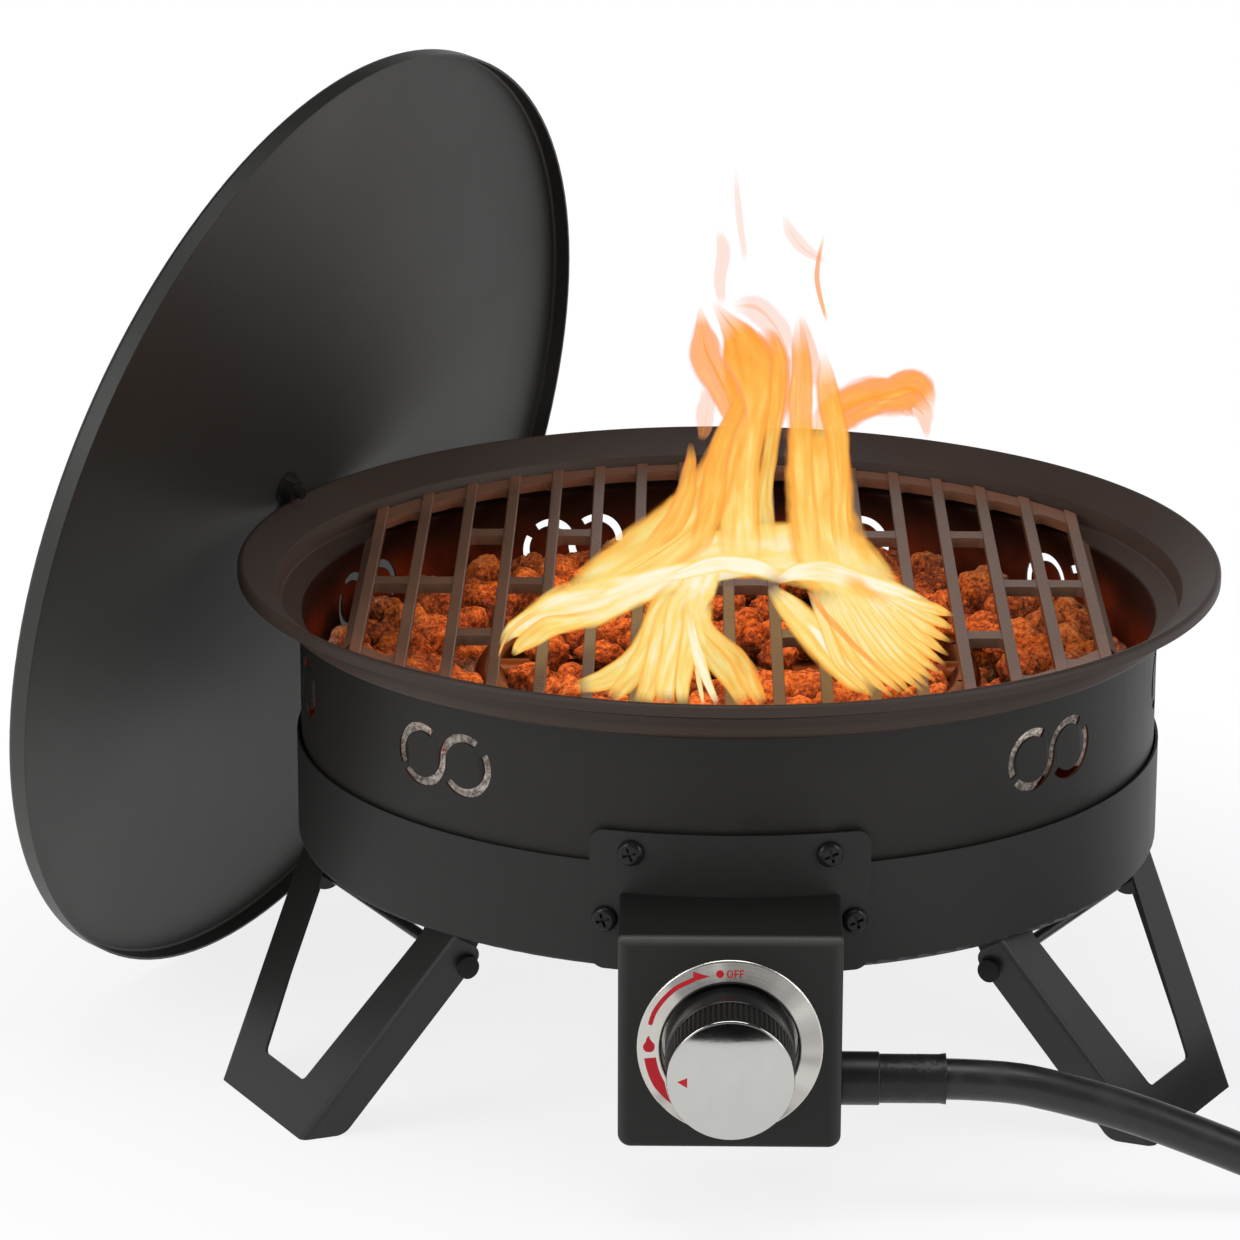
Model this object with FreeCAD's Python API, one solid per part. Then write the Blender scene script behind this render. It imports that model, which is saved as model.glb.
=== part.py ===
import FreeCAD
import Part

import math
import os

V = FreeCAD.Vector
UP = V(0, 0, 1)
ORIGIN = V(0, 0, 0)

# ---- Sizes in mm. Origin on the floor under the bowl's axis, +Z up, front at -Y. ----

# Clearances and fits
SEAT = 0.3  # between two faces that rest on each other
RUNNING = 0.08  # radial, between a turning pin or stem and its bore
SCREW_FREE = 0.3  # radial, between a screw and the hole it passes
NEST = 1.0  # between the bowl's wall and the pan round it
END_GAP = 1.0  # beyond the end of a travel

# Fire bowl
SHEET = 1.2
WALL_R = 210.6  # inside of the bowl's wall
BOWL_FLOOR_Z = 151.2
BOWL_CORNER_R = 4.8
LEDGE_R = 221.3  # outer edge of the grate's ledge
LEDGE_FALL = 3.7  # the ledge slopes inwards
LEDGE_Z = 219.0  # inner edge of the ledge
STEP_TOP_R = 223.5
STEP_TOP_Z = 232.2
RIM_R = 242.0
RIM_Z = 245.5  # where flange and lip would meet without their bend
BEND_R = 1.0  # inside radius of the folds
LIP_Z = 238.0

# Vents
VENT_COUNT = 8
VENT_PITCH = 39.3  # degrees; the plate takes the ninth place
VENT_FIRST = 45.5  # azimuth of the first vent on the right
VENT_Z = 190.5
VENT_RING_R = 15.4
VENT_SLOT = 4.2
VENT_SPREAD = 13.3  # ring centre from the vent's middle

# Base pan
PAN_R = WALL_R + SHEET + NEST + SHEET
PAN_TOP_Z = 156.0
PAN_Z = 104.1
PAN_CORNER_R = 3.0

# Spacer posts between pan and bowl
POST_AT = 150.0
POST_AZ = (30.0, 150.0, 270.0)
POST_R = 8.0
POST_SCREW_R = 2.5

# Cooking grate
GRATE_R = 217.0
GRATE_TOP_Z = 230.0
BAR_PITCH = 22.2
BAR_EACH_SIDE = 8
BAR_TOP_W = 6.0
BAR_FOOT_W = 4.0
LINK_H = 5.0
LINK_DEPTH = 12.0
LINK_DROP = 1.2  # top of the links below the top of the bars
LINK_ROW_Y = 85.0
LINKS_MIDDLE = (-7.5, -6.5, -4.5, -2.5, -0.5, 0.5, 2.5, 6.5, 7.5)  # in pitches from the middle
LINKS_FRONT = (-5.5, -1.5, 1.5, 3.5, 5.5)
LINKS_REAR = (-5.5, -3.5, -1.5, 1.5, 3.5, 5.5)
SLOT_CORNER_R = 4.0
SKIRT_OUT = 7.5
SKIRT_REACH = 92.0

# Burner
BURNER_R = 118.0
BURNER_TUBE_R = 8.0
BURNER_WALL = 1.0
BURNER_Z = 180.0
PORT_R = 1.3
PORT_COUNT = 36
HUB_R = 14.0
HUB_FLANGE_R = 24.0
HUB_FLANGE_T = 2.0

# Mixer tube, orifice and gas pipe
MIXER_R = 11.0
MIXER_WALL = 1.0
MIXER_BEND_R = 20.0
MIXER_Z = 128.0
MIXER_END_Y = -95.0
ORIFICE_R = 6.5
ORIFICE_NOSE_R = 4.0
ORIFICE_NOSE = 8.0
ORIFICE_L = 15.0
ORIFICE_BORE_R = 1.0
PIPE_R = 4.0
PIPE_BEND_R = 12.0
PIPE_HOLE_R = 7.0

# Mount plate and control box
PLATE_T = 1.5
PLATE_HALF_ARC = 66.0
PLATE_TOP_Z = 172.2
PLATE_CORNER_R = 7.0
BOX_HALF_W = 50.9
BOX_Z = 40.0
BOX_TOP_Z = 142.3
BOX_FRONT = 268.0  # distance in front of the bowl's axis, as all the sizes along the dial
BOX_T = 1.5
BOX_LOW_R = 6.0
BOX_TOP_R = 2.0
BOX_EDGE_R = 2.5
MOUNT_SCREWS = ((46.0, 162.2), (58.4, 128.9))  # arc from the middle, z
MOUNT_HEAD_R = 6.2
MOUNT_HEAD_H = 3.6
MOUNT_SHANK_R = 2.4

# Bezel, knob and valve, on one axis
DIAL_Z = 89.7
BEZEL_R = 42.5
BEZEL_BORE_R = 31.25
BEZEL_T = 1.0
BEZEL_RISE = 3.0
CUP_FLOOR = 258.0
KNOB_SKIRT_R = 29.5
KNOB_BACK = 262.0
KNOB_STEP = 287.0
KNOB_GRIP_R = 28.8
KNOB_GRIP_L = 20.0
KNOB_RIM = KNOB_STEP + KNOB_GRIP_L
KNOB_RIBS = 72
KNOB_RIB_H = 0.9
KNOB_CAP_R = 28.6
KNOB_CAP_EDGE = 1.5
KNOB_CAP_RISE = 4.5
KNOB_WALL = 2.5
KNOB_PUSH = 3.5
STEM_R = 4.0
STEM_DEPTH = 14.0  # how far it reaches into the grip
STEM_TIP = KNOB_STEP + STEM_DEPTH
STEM_END = 236.0
VALVE_HALF_W = 15.0
VALVE_DEPTH = 34.0
VALVE_TOP_Z = 108.0
VALVE_Z = 76.0
COLLAR_R = 8.5
COLLAR_T = 3.0
COLLAR_BACK = 247.0

# Hose and its sleeve
HOSE_R = 9.5
EXIT_Y = 26.0 - BOX_FRONT
EXIT_Z = 64.2
SLEEVE_NUT_R = 12.35
SLEEVE_NUT_X = 69.0
SLEEVE_R = 11.35
SLEEVE_X = 99.4
SLEEVE_FLARE = 0.5
HOSE_GRIP = 12.0  # length of hose inside the sleeve
INLET_R = 5.0

# Coil, put away on the floor beyond the right of the object
COIL_AT = (395.0, -127.5)
COIL_LANE_R = 117.0  # centreline of the outer lane
COIL_LANES = 2
COIL_LAYERS = 2

# Regulator and tank connector
REG_Z = 26.3
REG_Y = 35.0
REG_R = 36.0
REG_H = 42.0
REG_PORT_R = 12.5
REG_PORT_L = 24.0
REG_CAP_R = 38.0
REG_CAP_H = 11.0
NUT_R = 26.0
NUT_L = 30.0
NUT_FLUTES = 12
NIPPLE_R = 16.67  # 1-5/16 inch thread of a tank valve
NIPPLE_PROBE_R = 6.0

# Legs
LEG_AZ = {"left": -60.0, "right": 60.0, "rear": 180.0}
LEG_TILT = 32.07
LEG_FOOT_R = 260.2
LEG_FOOT_HALF_W = 44.85
LEG_SPREAD = 0.298  # growth of the half width per mm up the plate
LEG_T = 1.5
LEG_FLANGE = 18.0
LEG_BEND_R = 3.0
WINDOW_V = 23.85
WINDOW_TOP_V = 108.0
WINDOW_HALF_W = 21.3
WINDOW_SPREAD = 0.351
WINDOW_CORNER_R = 4.0
PIN_V = 112.0
PIN_W = 14.0
PIN_R = 3.0
PIN_HEAD_R = 5.5
PIN_HEAD_T = 2.0
EAR_AT = 70.0
EAR_T = 2.0
EAR_R = 9.0

# Lid, leaning on the rim
LID_R = 245.4
LID_EDGE = 9.9
LID_BEND_R = 2.5
LID_DOME = 10.3
LID_TILT = -13.2  # the hollow side looks down by this much
LID_AZ = 61.75  # direction of the hollow side, from the front
LID_INSIDE = 9.762  # at the rim's height its middle plane is this far inside the rim's edge
LID_ASIDE = 28.55  # and this far to the left of the bowl's axis
LID_FOOT_GAP = 0.22
LID_KNOB_OFF = 8.0
LID_KNOB_R = 17.0
LID_KNOB_H = 24.0
LID_SCREW_R = 3.0
LID_WASHER_R = 8.5
LID_WASHER_T = 1.5
DOME_SEAT = 0.06  # the flat washer under the curved crown
LID_NUT_R = 5.0
LID_NUT_H = 5.0
LID_SCREW_OUT = 4.5


# ---- Profiles ----

def rounded(points, radii, shut=True):
    """Wire through the points, each corner rounded by a tangent arc."""
    corners = []
    for i, here in enumerate(points):
        if not radii[i]:
            corners.append((here, here, None))
            continue
        back = (points[i - 1] - here).normalize()
        ahead = (points[(i + 1) % len(points)] - here).normalize()
        half = back.getAngle(ahead) / 2
        cut = radii[i] / math.tan(half)
        middle = (back + ahead).normalize() * (radii[i] / math.sin(half) - radii[i])
        corners.append((here + back * cut, here + ahead * cut, here + middle))
    edges = []
    for i, (entry, leave, middle) in enumerate(corners):
        if middle is not None:
            edges.append(Part.Arc(entry, middle, leave).toShape())
        if i + 1 == len(corners) and not shut:
            break
        following = corners[(i + 1) % len(corners)][0]
        if leave.distanceToPoint(following) > 1e-6:
            edges.append(Part.LineSegment(leave, following).toShape())
    return Part.Wire(edges)


def prism(points, radii, travel):
    """Rounded polygon pushed along a vector."""
    return Part.Face(rounded(points, radii)).extrude(travel)


def turned(outline, radii=None):
    """Solid of revolution about Z from (radius, height) points."""
    points = [V(r, 0, h) for r, h in outline]
    return Part.Face(rounded(points, radii or [0] * len(points))).revolve(ORIGIN, UP, 360)


def bent_sheet(path, thickness, bends):
    """Section of a sheet whose visible face follows the path, with the metal on its left."""
    runs = []
    for (r0, h0), (r1, h1) in zip(path, path[1:]):
        runs.append(V(r1 - r0, 0, h1 - h0).normalize())
    sides = [V(-run.z, 0, run.x) for run in runs]
    face = [V(r, 0, h) for r, h in path]
    back = [face[0] + sides[0] * thickness]
    face_radii = [0]
    back_radii = [0]
    for i, inside in enumerate(bends):
        before = sides[i]
        after = sides[i + 1]
        mitre = (before + after) * (thickness / (1 + before.dot(after)))
        back.append(face[i + 1] + mitre)
        outer_face = before.dot(runs[i + 1]) > 0
        face_radii.append(inside + thickness if outer_face else inside)
        back_radii.append(inside if outer_face else inside + thickness)
    back.append(face[-1] + sides[-1] * thickness)
    face_radii.append(0)
    back_radii.append(0)
    wire = rounded(face + back[::-1], face_radii + back_radii[::-1])
    return Part.Face(wire).revolve(ORIGIN, UP, 360)


def rod(points, radii, radius):
    """Round rod along straight runs joined by tangent arcs."""
    spine = rounded(points, radii, shut=False)
    start = Part.Circle(points[0], points[1] - points[0], radius).toShape()
    return spine.makePipeShell([Part.Wire(start)], True, False)


def dome(radius, base, rise, foot):
    """Solid dome about Z: a spherical cap over a plain cylinder that reaches down to its foot."""
    sphere_r = (radius ** 2 + rise ** 2) / (2 * rise)
    half = radius / 2
    middle = base + rise - sphere_r + math.sqrt(sphere_r ** 2 - half ** 2)
    top = V(0, 0, base + rise)
    edges = [
        Part.LineSegment(V(0, 0, foot), V(radius, 0, foot)).toShape(),
        Part.LineSegment(V(radius, 0, foot), V(radius, 0, base)).toShape(),
        Part.Arc(V(radius, 0, base), V(half, 0, middle), top).toShape(),
        Part.LineSegment(top, V(0, 0, foot)).toShape(),
    ]
    return Part.Face(Part.Wire(edges)).revolve(ORIGIN, UP, 360)


def bend_radii(points):
    """Largest arcs that leave a tenth of the shorter run straight at every corner."""
    radii = [0]
    for before, here, after in zip(points, points[1:], points[2:]):
        turn = (here - before).getAngle(after - here)
        shorter = min(here.distanceToPoint(before), after.distanceToPoint(here))
        radii.append(0.45 * shorter / math.tan(turn / 2))
    return radii + [0]


def cylinder(radius, height, at, axis=UP):
    return Part.makeCylinder(radius, height, at, axis)


def block(x0, x1, y0, y1, z0, z1):
    return Part.makeBox(x1 - x0, y1 - y0, z1 - z0, V(x0, y0, z0))


def around(shape, azimuth):
    """Copy of a shape made at the front, turned about the bowl's axis."""
    return shape.rotated(ORIGIN, UP, azimuth)


def joined(shapes):
    """One solid from shapes that overlap."""
    return shapes[0].multiFuse(shapes[1:]).removeSplitter()


def dial(shape):
    """Put a shape turned about Z on the dial's axis, with its heights in front of the bowl."""
    return shape.rotated(ORIGIN, V(1, 0, 0), 90).translated(V(0, 0, DIAL_Z))


# ---- Bowl and pan ----

def vent_cutters():
    """The slots of one vent, two linked rings, cut from the front."""
    slots = []
    middle_r = VENT_RING_R - VENT_SLOT / 2
    for side, start, end in ((-1, 59, 208), (-1, 222, 360), (1, 59, 180), (1, 224, 391.6)):
        centre = V(side * middle_r, -WALL_R - SHEET - 4, VENT_Z)

        def at(radius, degrees):
            angle = math.radians(degrees)
            return centre + V(radius * math.cos(angle), 0, radius * math.sin(angle))

        inner = VENT_RING_R - VENT_SLOT
        half = (start + end) / 2
        edges = [
            Part.Arc(at(VENT_RING_R, start), at(VENT_RING_R, half), at(VENT_RING_R, end)).toShape(),
            Part.LineSegment(at(VENT_RING_R, end), at(inner, end)).toShape(),
            Part.Arc(at(inner, end), at(inner, half), at(inner, start)).toShape(),
            Part.LineSegment(at(inner, start), at(VENT_RING_R, start)).toShape(),
        ]
        slots.append(Part.Face(Part.Wire(edges)).extrude(V(0, 12, 0)))
    return slots


def mount_screw_spots():
    """Azimuth and height of the four screws of the mount plate."""
    outer = PAN_R + PLATE_T
    spots = []
    for arc, height in MOUNT_SCREWS:
        for side in (-1, 1):
            spots.append((side * math.degrees(arc / outer), height))
    return spots


def mount_screw_holes():
    holes = []
    for azimuth, height in mount_screw_spots():
        hole = cylinder(MOUNT_SHANK_R + SCREW_FREE, 30, V(0, -PAN_R - 15, height), V(0, 1, 0))
        holes.append(around(hole, azimuth))
    return holes


def post_spots():
    """Where the spacer posts stand, at floor level."""
    return [FreeCAD.Rotation(UP, azimuth).multVec(V(0, -POST_AT, 0)) for azimuth in POST_AZ]


def fire_bowl():
    """Bent profile turned into rim, ledge, wall and floor, then pierced."""
    path = [
        (RIM_R, LIP_Z),
        (RIM_R, RIM_Z),
        (STEP_TOP_R, STEP_TOP_Z),
        (LEDGE_R, LEDGE_Z + LEDGE_FALL),
        (WALL_R, LEDGE_Z),
        (WALL_R, BOWL_FLOOR_Z),
        (MIXER_R + SCREW_FREE, BOWL_FLOOR_Z),
    ]
    bowl = bent_sheet(path, SHEET, [BEND_R, BEND_R, BEND_R, BEND_R, BOWL_CORNER_R])
    cutters = mount_screw_holes()
    for spot in post_spots():
        cutters.append(cylinder(POST_SCREW_R + SCREW_FREE, 20, spot + UP * (BOWL_FLOOR_Z - 10)))
    for i in range(VENT_COUNT):
        cutters += [around(slot, VENT_FIRST + i * VENT_PITCH) for slot in vent_cutters()]
    return bowl.cut(cutters)


def base_pan():
    path = [(0, PAN_Z), (PAN_R, PAN_Z), (PAN_R, PAN_TOP_Z)]
    pan = bent_sheet(path, SHEET, [PAN_CORNER_R - SHEET])
    cutters = mount_screw_holes()
    cutters.append(cylinder(PIPE_HOLE_R, 30, V(0, -PAN_R - 15, MIXER_Z), V(0, 1, 0)))
    for spot in post_spots():
        cutters.append(cylinder(POST_SCREW_R + SCREW_FREE, 20, spot + UP * (PAN_Z - 10)))
    return pan.cut(cutters)


def spacer_posts():
    """Three tubes that carry the bowl above the pan's floor."""
    foot = PAN_Z + SHEET
    height = BOWL_FLOOR_Z - SHEET - foot
    posts = []
    for spot in post_spots():
        post = cylinder(POST_R, height, spot + UP * foot)
        posts.append(post.cut(cylinder(POST_SCREW_R + SCREW_FREE, height, spot + UP * foot)))
    return Part.Compound(posts)


def base_screws():
    """Three screws from under the pan, through the posts and the bowl's floor."""
    head = 3.0
    screws = []
    for spot in post_spots():
        dome = turned([(0, 0), (POST_R * 0.4, 0), (POST_R * 0.6, head), (0, head)])
        shank = cylinder(POST_SCREW_R, BOWL_FLOOR_Z + 6 - PAN_Z + head / 2, V(0, 0, head / 2))
        screws.append(dome.fuse(shank).translated(spot + UP * (PAN_Z - head)))
    return Part.Compound(screws)


def base_nuts():
    """Hexagon nuts on the bowl's floor, under the rocks."""
    nuts = []
    for spot in post_spots():
        nuts.append(hexagon(POST_SCREW_R * 1.6, 4.0).translated(spot + UP * BOWL_FLOOR_Z))
    return Part.Compound([nut.cut(screw) for nut, screw in zip(nuts, base_screws().Solids)])


def hexagon(flat_r, height):
    """Hexagonal prism with its base at the origin."""
    corner = flat_r / math.cos(math.pi / 6)
    points = [V(corner * math.cos(math.pi / 3 * i), corner * math.sin(math.pi / 3 * i), 0) for i in range(6)]
    return prism(points, [0] * 6, UP * height)


# ---- Grate, burner and rocks ----

def grate_bar(index):
    """Tapered bar along Y; the outermost ones have a sloped skirt on their outer side."""
    x = index * BAR_PITCH
    foot = ledge_height(GRATE_R) + SEAT
    half = math.sqrt(GRATE_R ** 2 - x ** 2) + 5
    section = [
        V(x - BAR_FOOT_W / 2, -half, foot),
        V(x + BAR_FOOT_W / 2, -half, foot),
        V(x + BAR_TOP_W / 2, -half, GRATE_TOP_Z),
        V(x - BAR_TOP_W / 2, -half, GRATE_TOP_Z),
    ]
    bar = prism(section, [0, 0, 0.8, 0.8], V(0, 2 * half, 0))
    if abs(index) < BAR_EACH_SIDE:
        return bar
    side = math.copysign(1, index)
    skirt = [
        V(x, -SKIRT_REACH, GRATE_TOP_Z - 2),
        V(x + side * SKIRT_OUT, -SKIRT_REACH, foot),
        V(x, -SKIRT_REACH, foot),
    ]
    return bar.fuse(prism(skirt, [0] * 3, V(0, 2 * SKIRT_REACH, 0)))


def ledge_height(radius):
    """Height of the sloping ledge's face at a radius."""
    return LEDGE_Z + (radius - WALL_R) * LEDGE_FALL / (LEDGE_R - WALL_R)


def cooking_grate():
    """Seventeen bars on a round web that is open in slots, which leave a rim and staggered links."""
    top = GRATE_TOP_Z - LINK_DROP
    outermost = BAR_EACH_SIDE * BAR_PITCH
    web = cylinder(GRATE_R, LINK_H, V(0, 0, top - LINK_H))
    web = web.common(block(-outermost, outermost, -GRATE_R, GRATE_R, 0, GRATE_TOP_Z))
    slots = []
    for gap in range(-BAR_EACH_SIDE, BAR_EACH_SIDE):
        slots += grate_slots(gap + 0.5, top)
    bars = [grate_bar(i) for i in range(-BAR_EACH_SIDE, BAR_EACH_SIDE + 1)]
    grate = joined(bars + [web.cut(slots)])
    return grate.common(cylinder(GRATE_R, GRATE_TOP_Z + 10, ORIGIN)).removeSplitter()


def grate_slots(gap, top):
    """Cutters for the slots of one gap, between its links and the rim, with rounded corners."""
    left = gap * BAR_PITCH - (BAR_PITCH - BAR_FOOT_W) / 2
    right = gap * BAR_PITCH + (BAR_PITCH - BAR_FOOT_W) / 2
    inner = GRATE_R - LINK_DEPTH
    rim = [math.sqrt(inner ** 2 - x ** 2) for x in (left, right)]
    ends = [(-rim[0], -rim[1])]
    for row, gaps in ((-LINK_ROW_Y, LINKS_FRONT), (0, LINKS_MIDDLE), (LINK_ROW_Y, LINKS_REAR)):
        if gap in gaps:
            ends += [(row - LINK_DEPTH / 2,) * 2, (row + LINK_DEPTH / 2,) * 2]
    ends.append((rim[0], rim[1]))
    slots = []
    for near, far in zip(ends[0::2], ends[1::2]):
        base = top - LINK_H - 1
        corners = [
            V(left, near[0], base),
            V(right, near[1], base),
            V(right, far[1], base),
            V(left, far[0], base),
        ]
        slots.append(prism(corners, [SLOT_CORNER_R] * 4, V(0, 0, LINK_H + 2)))
    return slots


def burner_ring():
    """Hollow ring and cross tube with gas ports, on a hub that takes the mixer tube."""
    across = V(-BURNER_R, 0, BURNER_Z)
    bore_r = BURNER_TUBE_R - BURNER_WALL
    floor = BOWL_FLOOR_Z
    metal = joined([
        Part.makeTorus(BURNER_R, BURNER_TUBE_R, V(0, 0, BURNER_Z)),
        cylinder(BURNER_TUBE_R, 2 * BURNER_R, across, V(1, 0, 0)),
        cylinder(HUB_R, BURNER_Z + BURNER_TUBE_R / 2 - floor, V(0, 0, floor)),
        cylinder(HUB_FLANGE_R, HUB_FLANGE_T, V(0, 0, floor)),
    ])
    gas = joined([
        Part.makeTorus(BURNER_R, bore_r, V(0, 0, BURNER_Z)),
        cylinder(bore_r, 2 * BURNER_R, across, V(1, 0, 0)),
        cylinder(MIXER_R + RUNNING, BURNER_Z - floor, V(0, 0, floor)),
    ])
    ports = []
    for i in range(PORT_COUNT):
        port = cylinder(PORT_R, BURNER_TUBE_R + 1, V(0, -BURNER_R, BURNER_Z))
        ports.append(around(port, (i + 0.5) * 360 / PORT_COUNT))
    return metal.cut([gas] + ports)


def burner_mixer():
    """Bent tube from the hub down through both floors, open towards the orifice."""
    points = [V(0, 0, BURNER_Z - 12), V(0, 0, MIXER_Z), V(0, MIXER_END_Y, MIXER_Z)]
    radii = [0, MIXER_BEND_R, 0]
    tube = rod(points, radii, MIXER_R).cut(rod(points, radii, MIXER_R - MIXER_WALL))
    slots = []
    for side in (-1, 1):
        slots.append(block(side * 7 - 2.5, side * 7 + 2.5, MIXER_END_Y + 12, MIXER_END_Y + 26, MIXER_Z, MIXER_Z + 20))
    return tube.cut(slots)


def orifice():
    """Brass jet whose nose reaches into the mixer tube's mouth."""
    tip = MIXER_END_Y + 2
    nose = cylinder(ORIFICE_NOSE_R, ORIFICE_NOSE, V(0, tip - ORIFICE_NOSE, MIXER_Z), V(0, 1, 0))
    body = hexagon(ORIFICE_R, ORIFICE_L).rotated(ORIGIN, V(1, 0, 0), 90)
    body = body.translated(V(0, tip - ORIFICE_NOSE, MIXER_Z))
    bore = cylinder(ORIFICE_BORE_R, 60, V(0, tip - 50, MIXER_Z), V(0, 1, 0))
    return nose.fuse(body).cut(bore)


def gas_pipe():
    """From the back of the orifice, out through the walls and down to the valve."""
    start = MIXER_END_Y + 2 - ORIFICE_NOSE - ORIFICE_L
    valve_y = -CUP_FLOOR + BEZEL_T + VALVE_DEPTH / 2
    points = [V(0, start, MIXER_Z), V(0, valve_y, MIXER_Z), V(0, valve_y, VALVE_TOP_Z)]
    radii = [0, PIPE_BEND_R, 0]
    return rod(points, radii, PIPE_R).cut(rod(points, radii, PIPE_R - 1))


def stone(at, radius, height, sides):
    """Convex stone: three level polygons joined by flat facets."""
    levels = []
    for share, level in ((0.62, 0), (1.0, 0.42), (0.5, 1.0)):
        corners = []
        for i in range(sides + 1):
            angle = 2 * math.pi * i / sides + at.x * 0.05
            offset = V(math.cos(angle), math.sin(angle), 0) * radius * share
            corners.append(at + offset + UP * height * level)
        levels.append(Part.makePolygon(corners))
    return Part.makeLoft(levels, True, True)


def lava_rocks():
    """One layer of stones on the bowl's floor: low ones under the burner, tall ones beside it."""
    pitch = 36.0
    stones = []
    for row in range(-6, 7):
        for column in range(-6, 7):
            x = (column + 0.5 * (row % 2)) * pitch
            y = row * pitch * math.sqrt(3) / 2
            index = (row * 5 + column * 3) % 7
            radius = 15.4 + 0.3 * index
            reach = math.hypot(x, y)
            if reach > WALL_R - radius - 6 or reach < HUB_FLANGE_R + radius:
                continue
            if min(spot.distanceToPoint(V(x, y, 0)) for spot in post_spots()) < radius + POST_R:
                continue
            below_ring = abs(reach - BURNER_R) < BURNER_TUBE_R + radius + 1
            below_cross = reach < BURNER_R and abs(y) < BURNER_TUBE_R + radius + 1
            height = 36.0 + 2.0 * index
            if below_ring or below_cross:
                height = BURNER_Z - BURNER_TUBE_R - BOWL_FLOOR_Z - 1.5 - 0.5 * index
            stones.append(stone(V(x, y, BOWL_FLOOR_Z), radius, height, 5 + index % 3))
    return Part.Compound(stones)


# ---- Mount plate, box and dial ----

def mount_plate():
    """Curved plate with rounded corners, wrapped round the pan and the bowl's wall."""
    outer = PAN_R + PLATE_T
    half = outer * math.sin(PLATE_HALF_ARC / outer)
    corners = [
        V(-half, -outer - 10, PAN_Z),
        V(half, -outer - 10, PAN_Z),
        V(half, -outer - 10, PLATE_TOP_Z),
        V(-half, -outer - 10, PLATE_TOP_Z),
    ]
    face = prism(corners, [PLATE_CORNER_R] * 4, V(0, 60, 0))
    height = PLATE_TOP_Z - PAN_Z
    wrap = cylinder(outer, height, V(0, 0, PAN_Z)).cut(cylinder(PAN_R, height, V(0, 0, PAN_Z)))
    hole = cylinder(PIPE_HOLE_R, 30, V(0, -outer - 15, MIXER_Z), V(0, 1, 0))
    return wrap.common(face).cut(mount_screw_holes() + [hole])


def mount_screws():
    """Four pan-head screws with cross recesses."""
    screws = []
    for azimuth, height in mount_screw_spots():
        crown = MOUNT_HEAD_R * 0.45
        head = turned(
            [(0, 0), (MOUNT_HEAD_R, 0), (MOUNT_HEAD_R, MOUNT_HEAD_H), (0, MOUNT_HEAD_H)],
            [0, 0, crown, 0],
        )
        arm = MOUNT_HEAD_R * 0.55
        for turn in (0, 90):
            recess = block(-arm, arm, -0.7, 0.7, MOUNT_HEAD_H - 1.8, MOUNT_HEAD_H + 1)
            head = head.cut(recess.rotated(ORIGIN, UP, turn + 20))
        screw = head.fuse(cylinder(MOUNT_SHANK_R, 11, V(0, 0, -10)))
        screw = screw.rotated(ORIGIN, V(1, 0, 0), 90)
        screws.append(around(screw.translated(V(0, -PAN_R - PLATE_T, height)), azimuth))
    return Part.Compound(screws)


def box_form(inset):
    """Solid form of the control box, smaller by the inset on every side."""
    half = BOX_HALF_W - inset
    low = max(BOX_LOW_R - inset, 0)
    top = max(BOX_TOP_R - inset, 0)
    front = -BOX_FRONT + inset
    corners = [
        V(-half, front, BOX_Z + inset),
        V(half, front, BOX_Z + inset),
        V(half, front, BOX_TOP_Z - inset),
        V(-half, front, BOX_TOP_Z - inset),
    ]
    form = prism(corners, [low, low, top, top], V(0, 80, 0))
    rim = [edge for edge in form.Edges if edge.BoundBox.YMax < front + 0.01]
    form = form.makeFillet(BOX_EDGE_R - inset, rim)
    return form.cut(cylinder(PAN_R + PLATE_T + inset, 200, ORIGIN))


def control_box():
    """Folded sheet box with a hollow back, open for the bezel, the pipe and the hose."""
    box = box_form(0).cut(box_form(BOX_T))
    window = BEZEL_BORE_R + BEZEL_T + SCREW_FREE
    return box.cut([
        cylinder(window, 20, V(0, -BOX_FRONT - 10, DIAL_Z), V(0, 1, 0)),
        cylinder(PIPE_HOLE_R, 20, V(0, -PAN_R - PLATE_T - 10, MIXER_Z), V(0, 1, 0)),
        cylinder(INLET_R + SCREW_FREE, 20, V(BOX_HALF_W - 10, EXIT_Y, EXIT_Z), V(1, 0, 0)),
    ])


def bezel():
    """Spun ring, raised towards its bore, with a cup behind the knob that holds the valve."""
    lip = BEZEL_RISE / 2
    path = [
        (BEZEL_R, BOX_FRONT),
        (BEZEL_R, BOX_FRONT + lip),
        (BEZEL_BORE_R, BOX_FRONT + BEZEL_RISE),
        (BEZEL_BORE_R, CUP_FLOOR),
        (STEM_R + 1, CUP_FLOOR),
    ]
    return dial(bent_sheet(path, BEZEL_T, [0.3, 0.3, 0.3]))


def knob_skirt():
    """Smooth black skirt, hollow towards the cup."""
    inner = KNOB_SKIRT_R - KNOB_WALL
    bore = STEM_R + RUNNING
    return dial(turned(
        [
            (bore, KNOB_STEP),
            (bore, KNOB_BACK + 6),
            (bore + KNOB_WALL, KNOB_BACK + 6),
            (bore + KNOB_WALL, KNOB_STEP - KNOB_WALL),
            (inner, KNOB_STEP - KNOB_WALL),
            (inner, KNOB_BACK),
            (KNOB_SKIRT_R, KNOB_BACK),
            (KNOB_SKIRT_R, KNOB_STEP),
        ],
        [0, 0, 0, 0, 0, 0, 0.5, 1.0],
    ))


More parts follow.
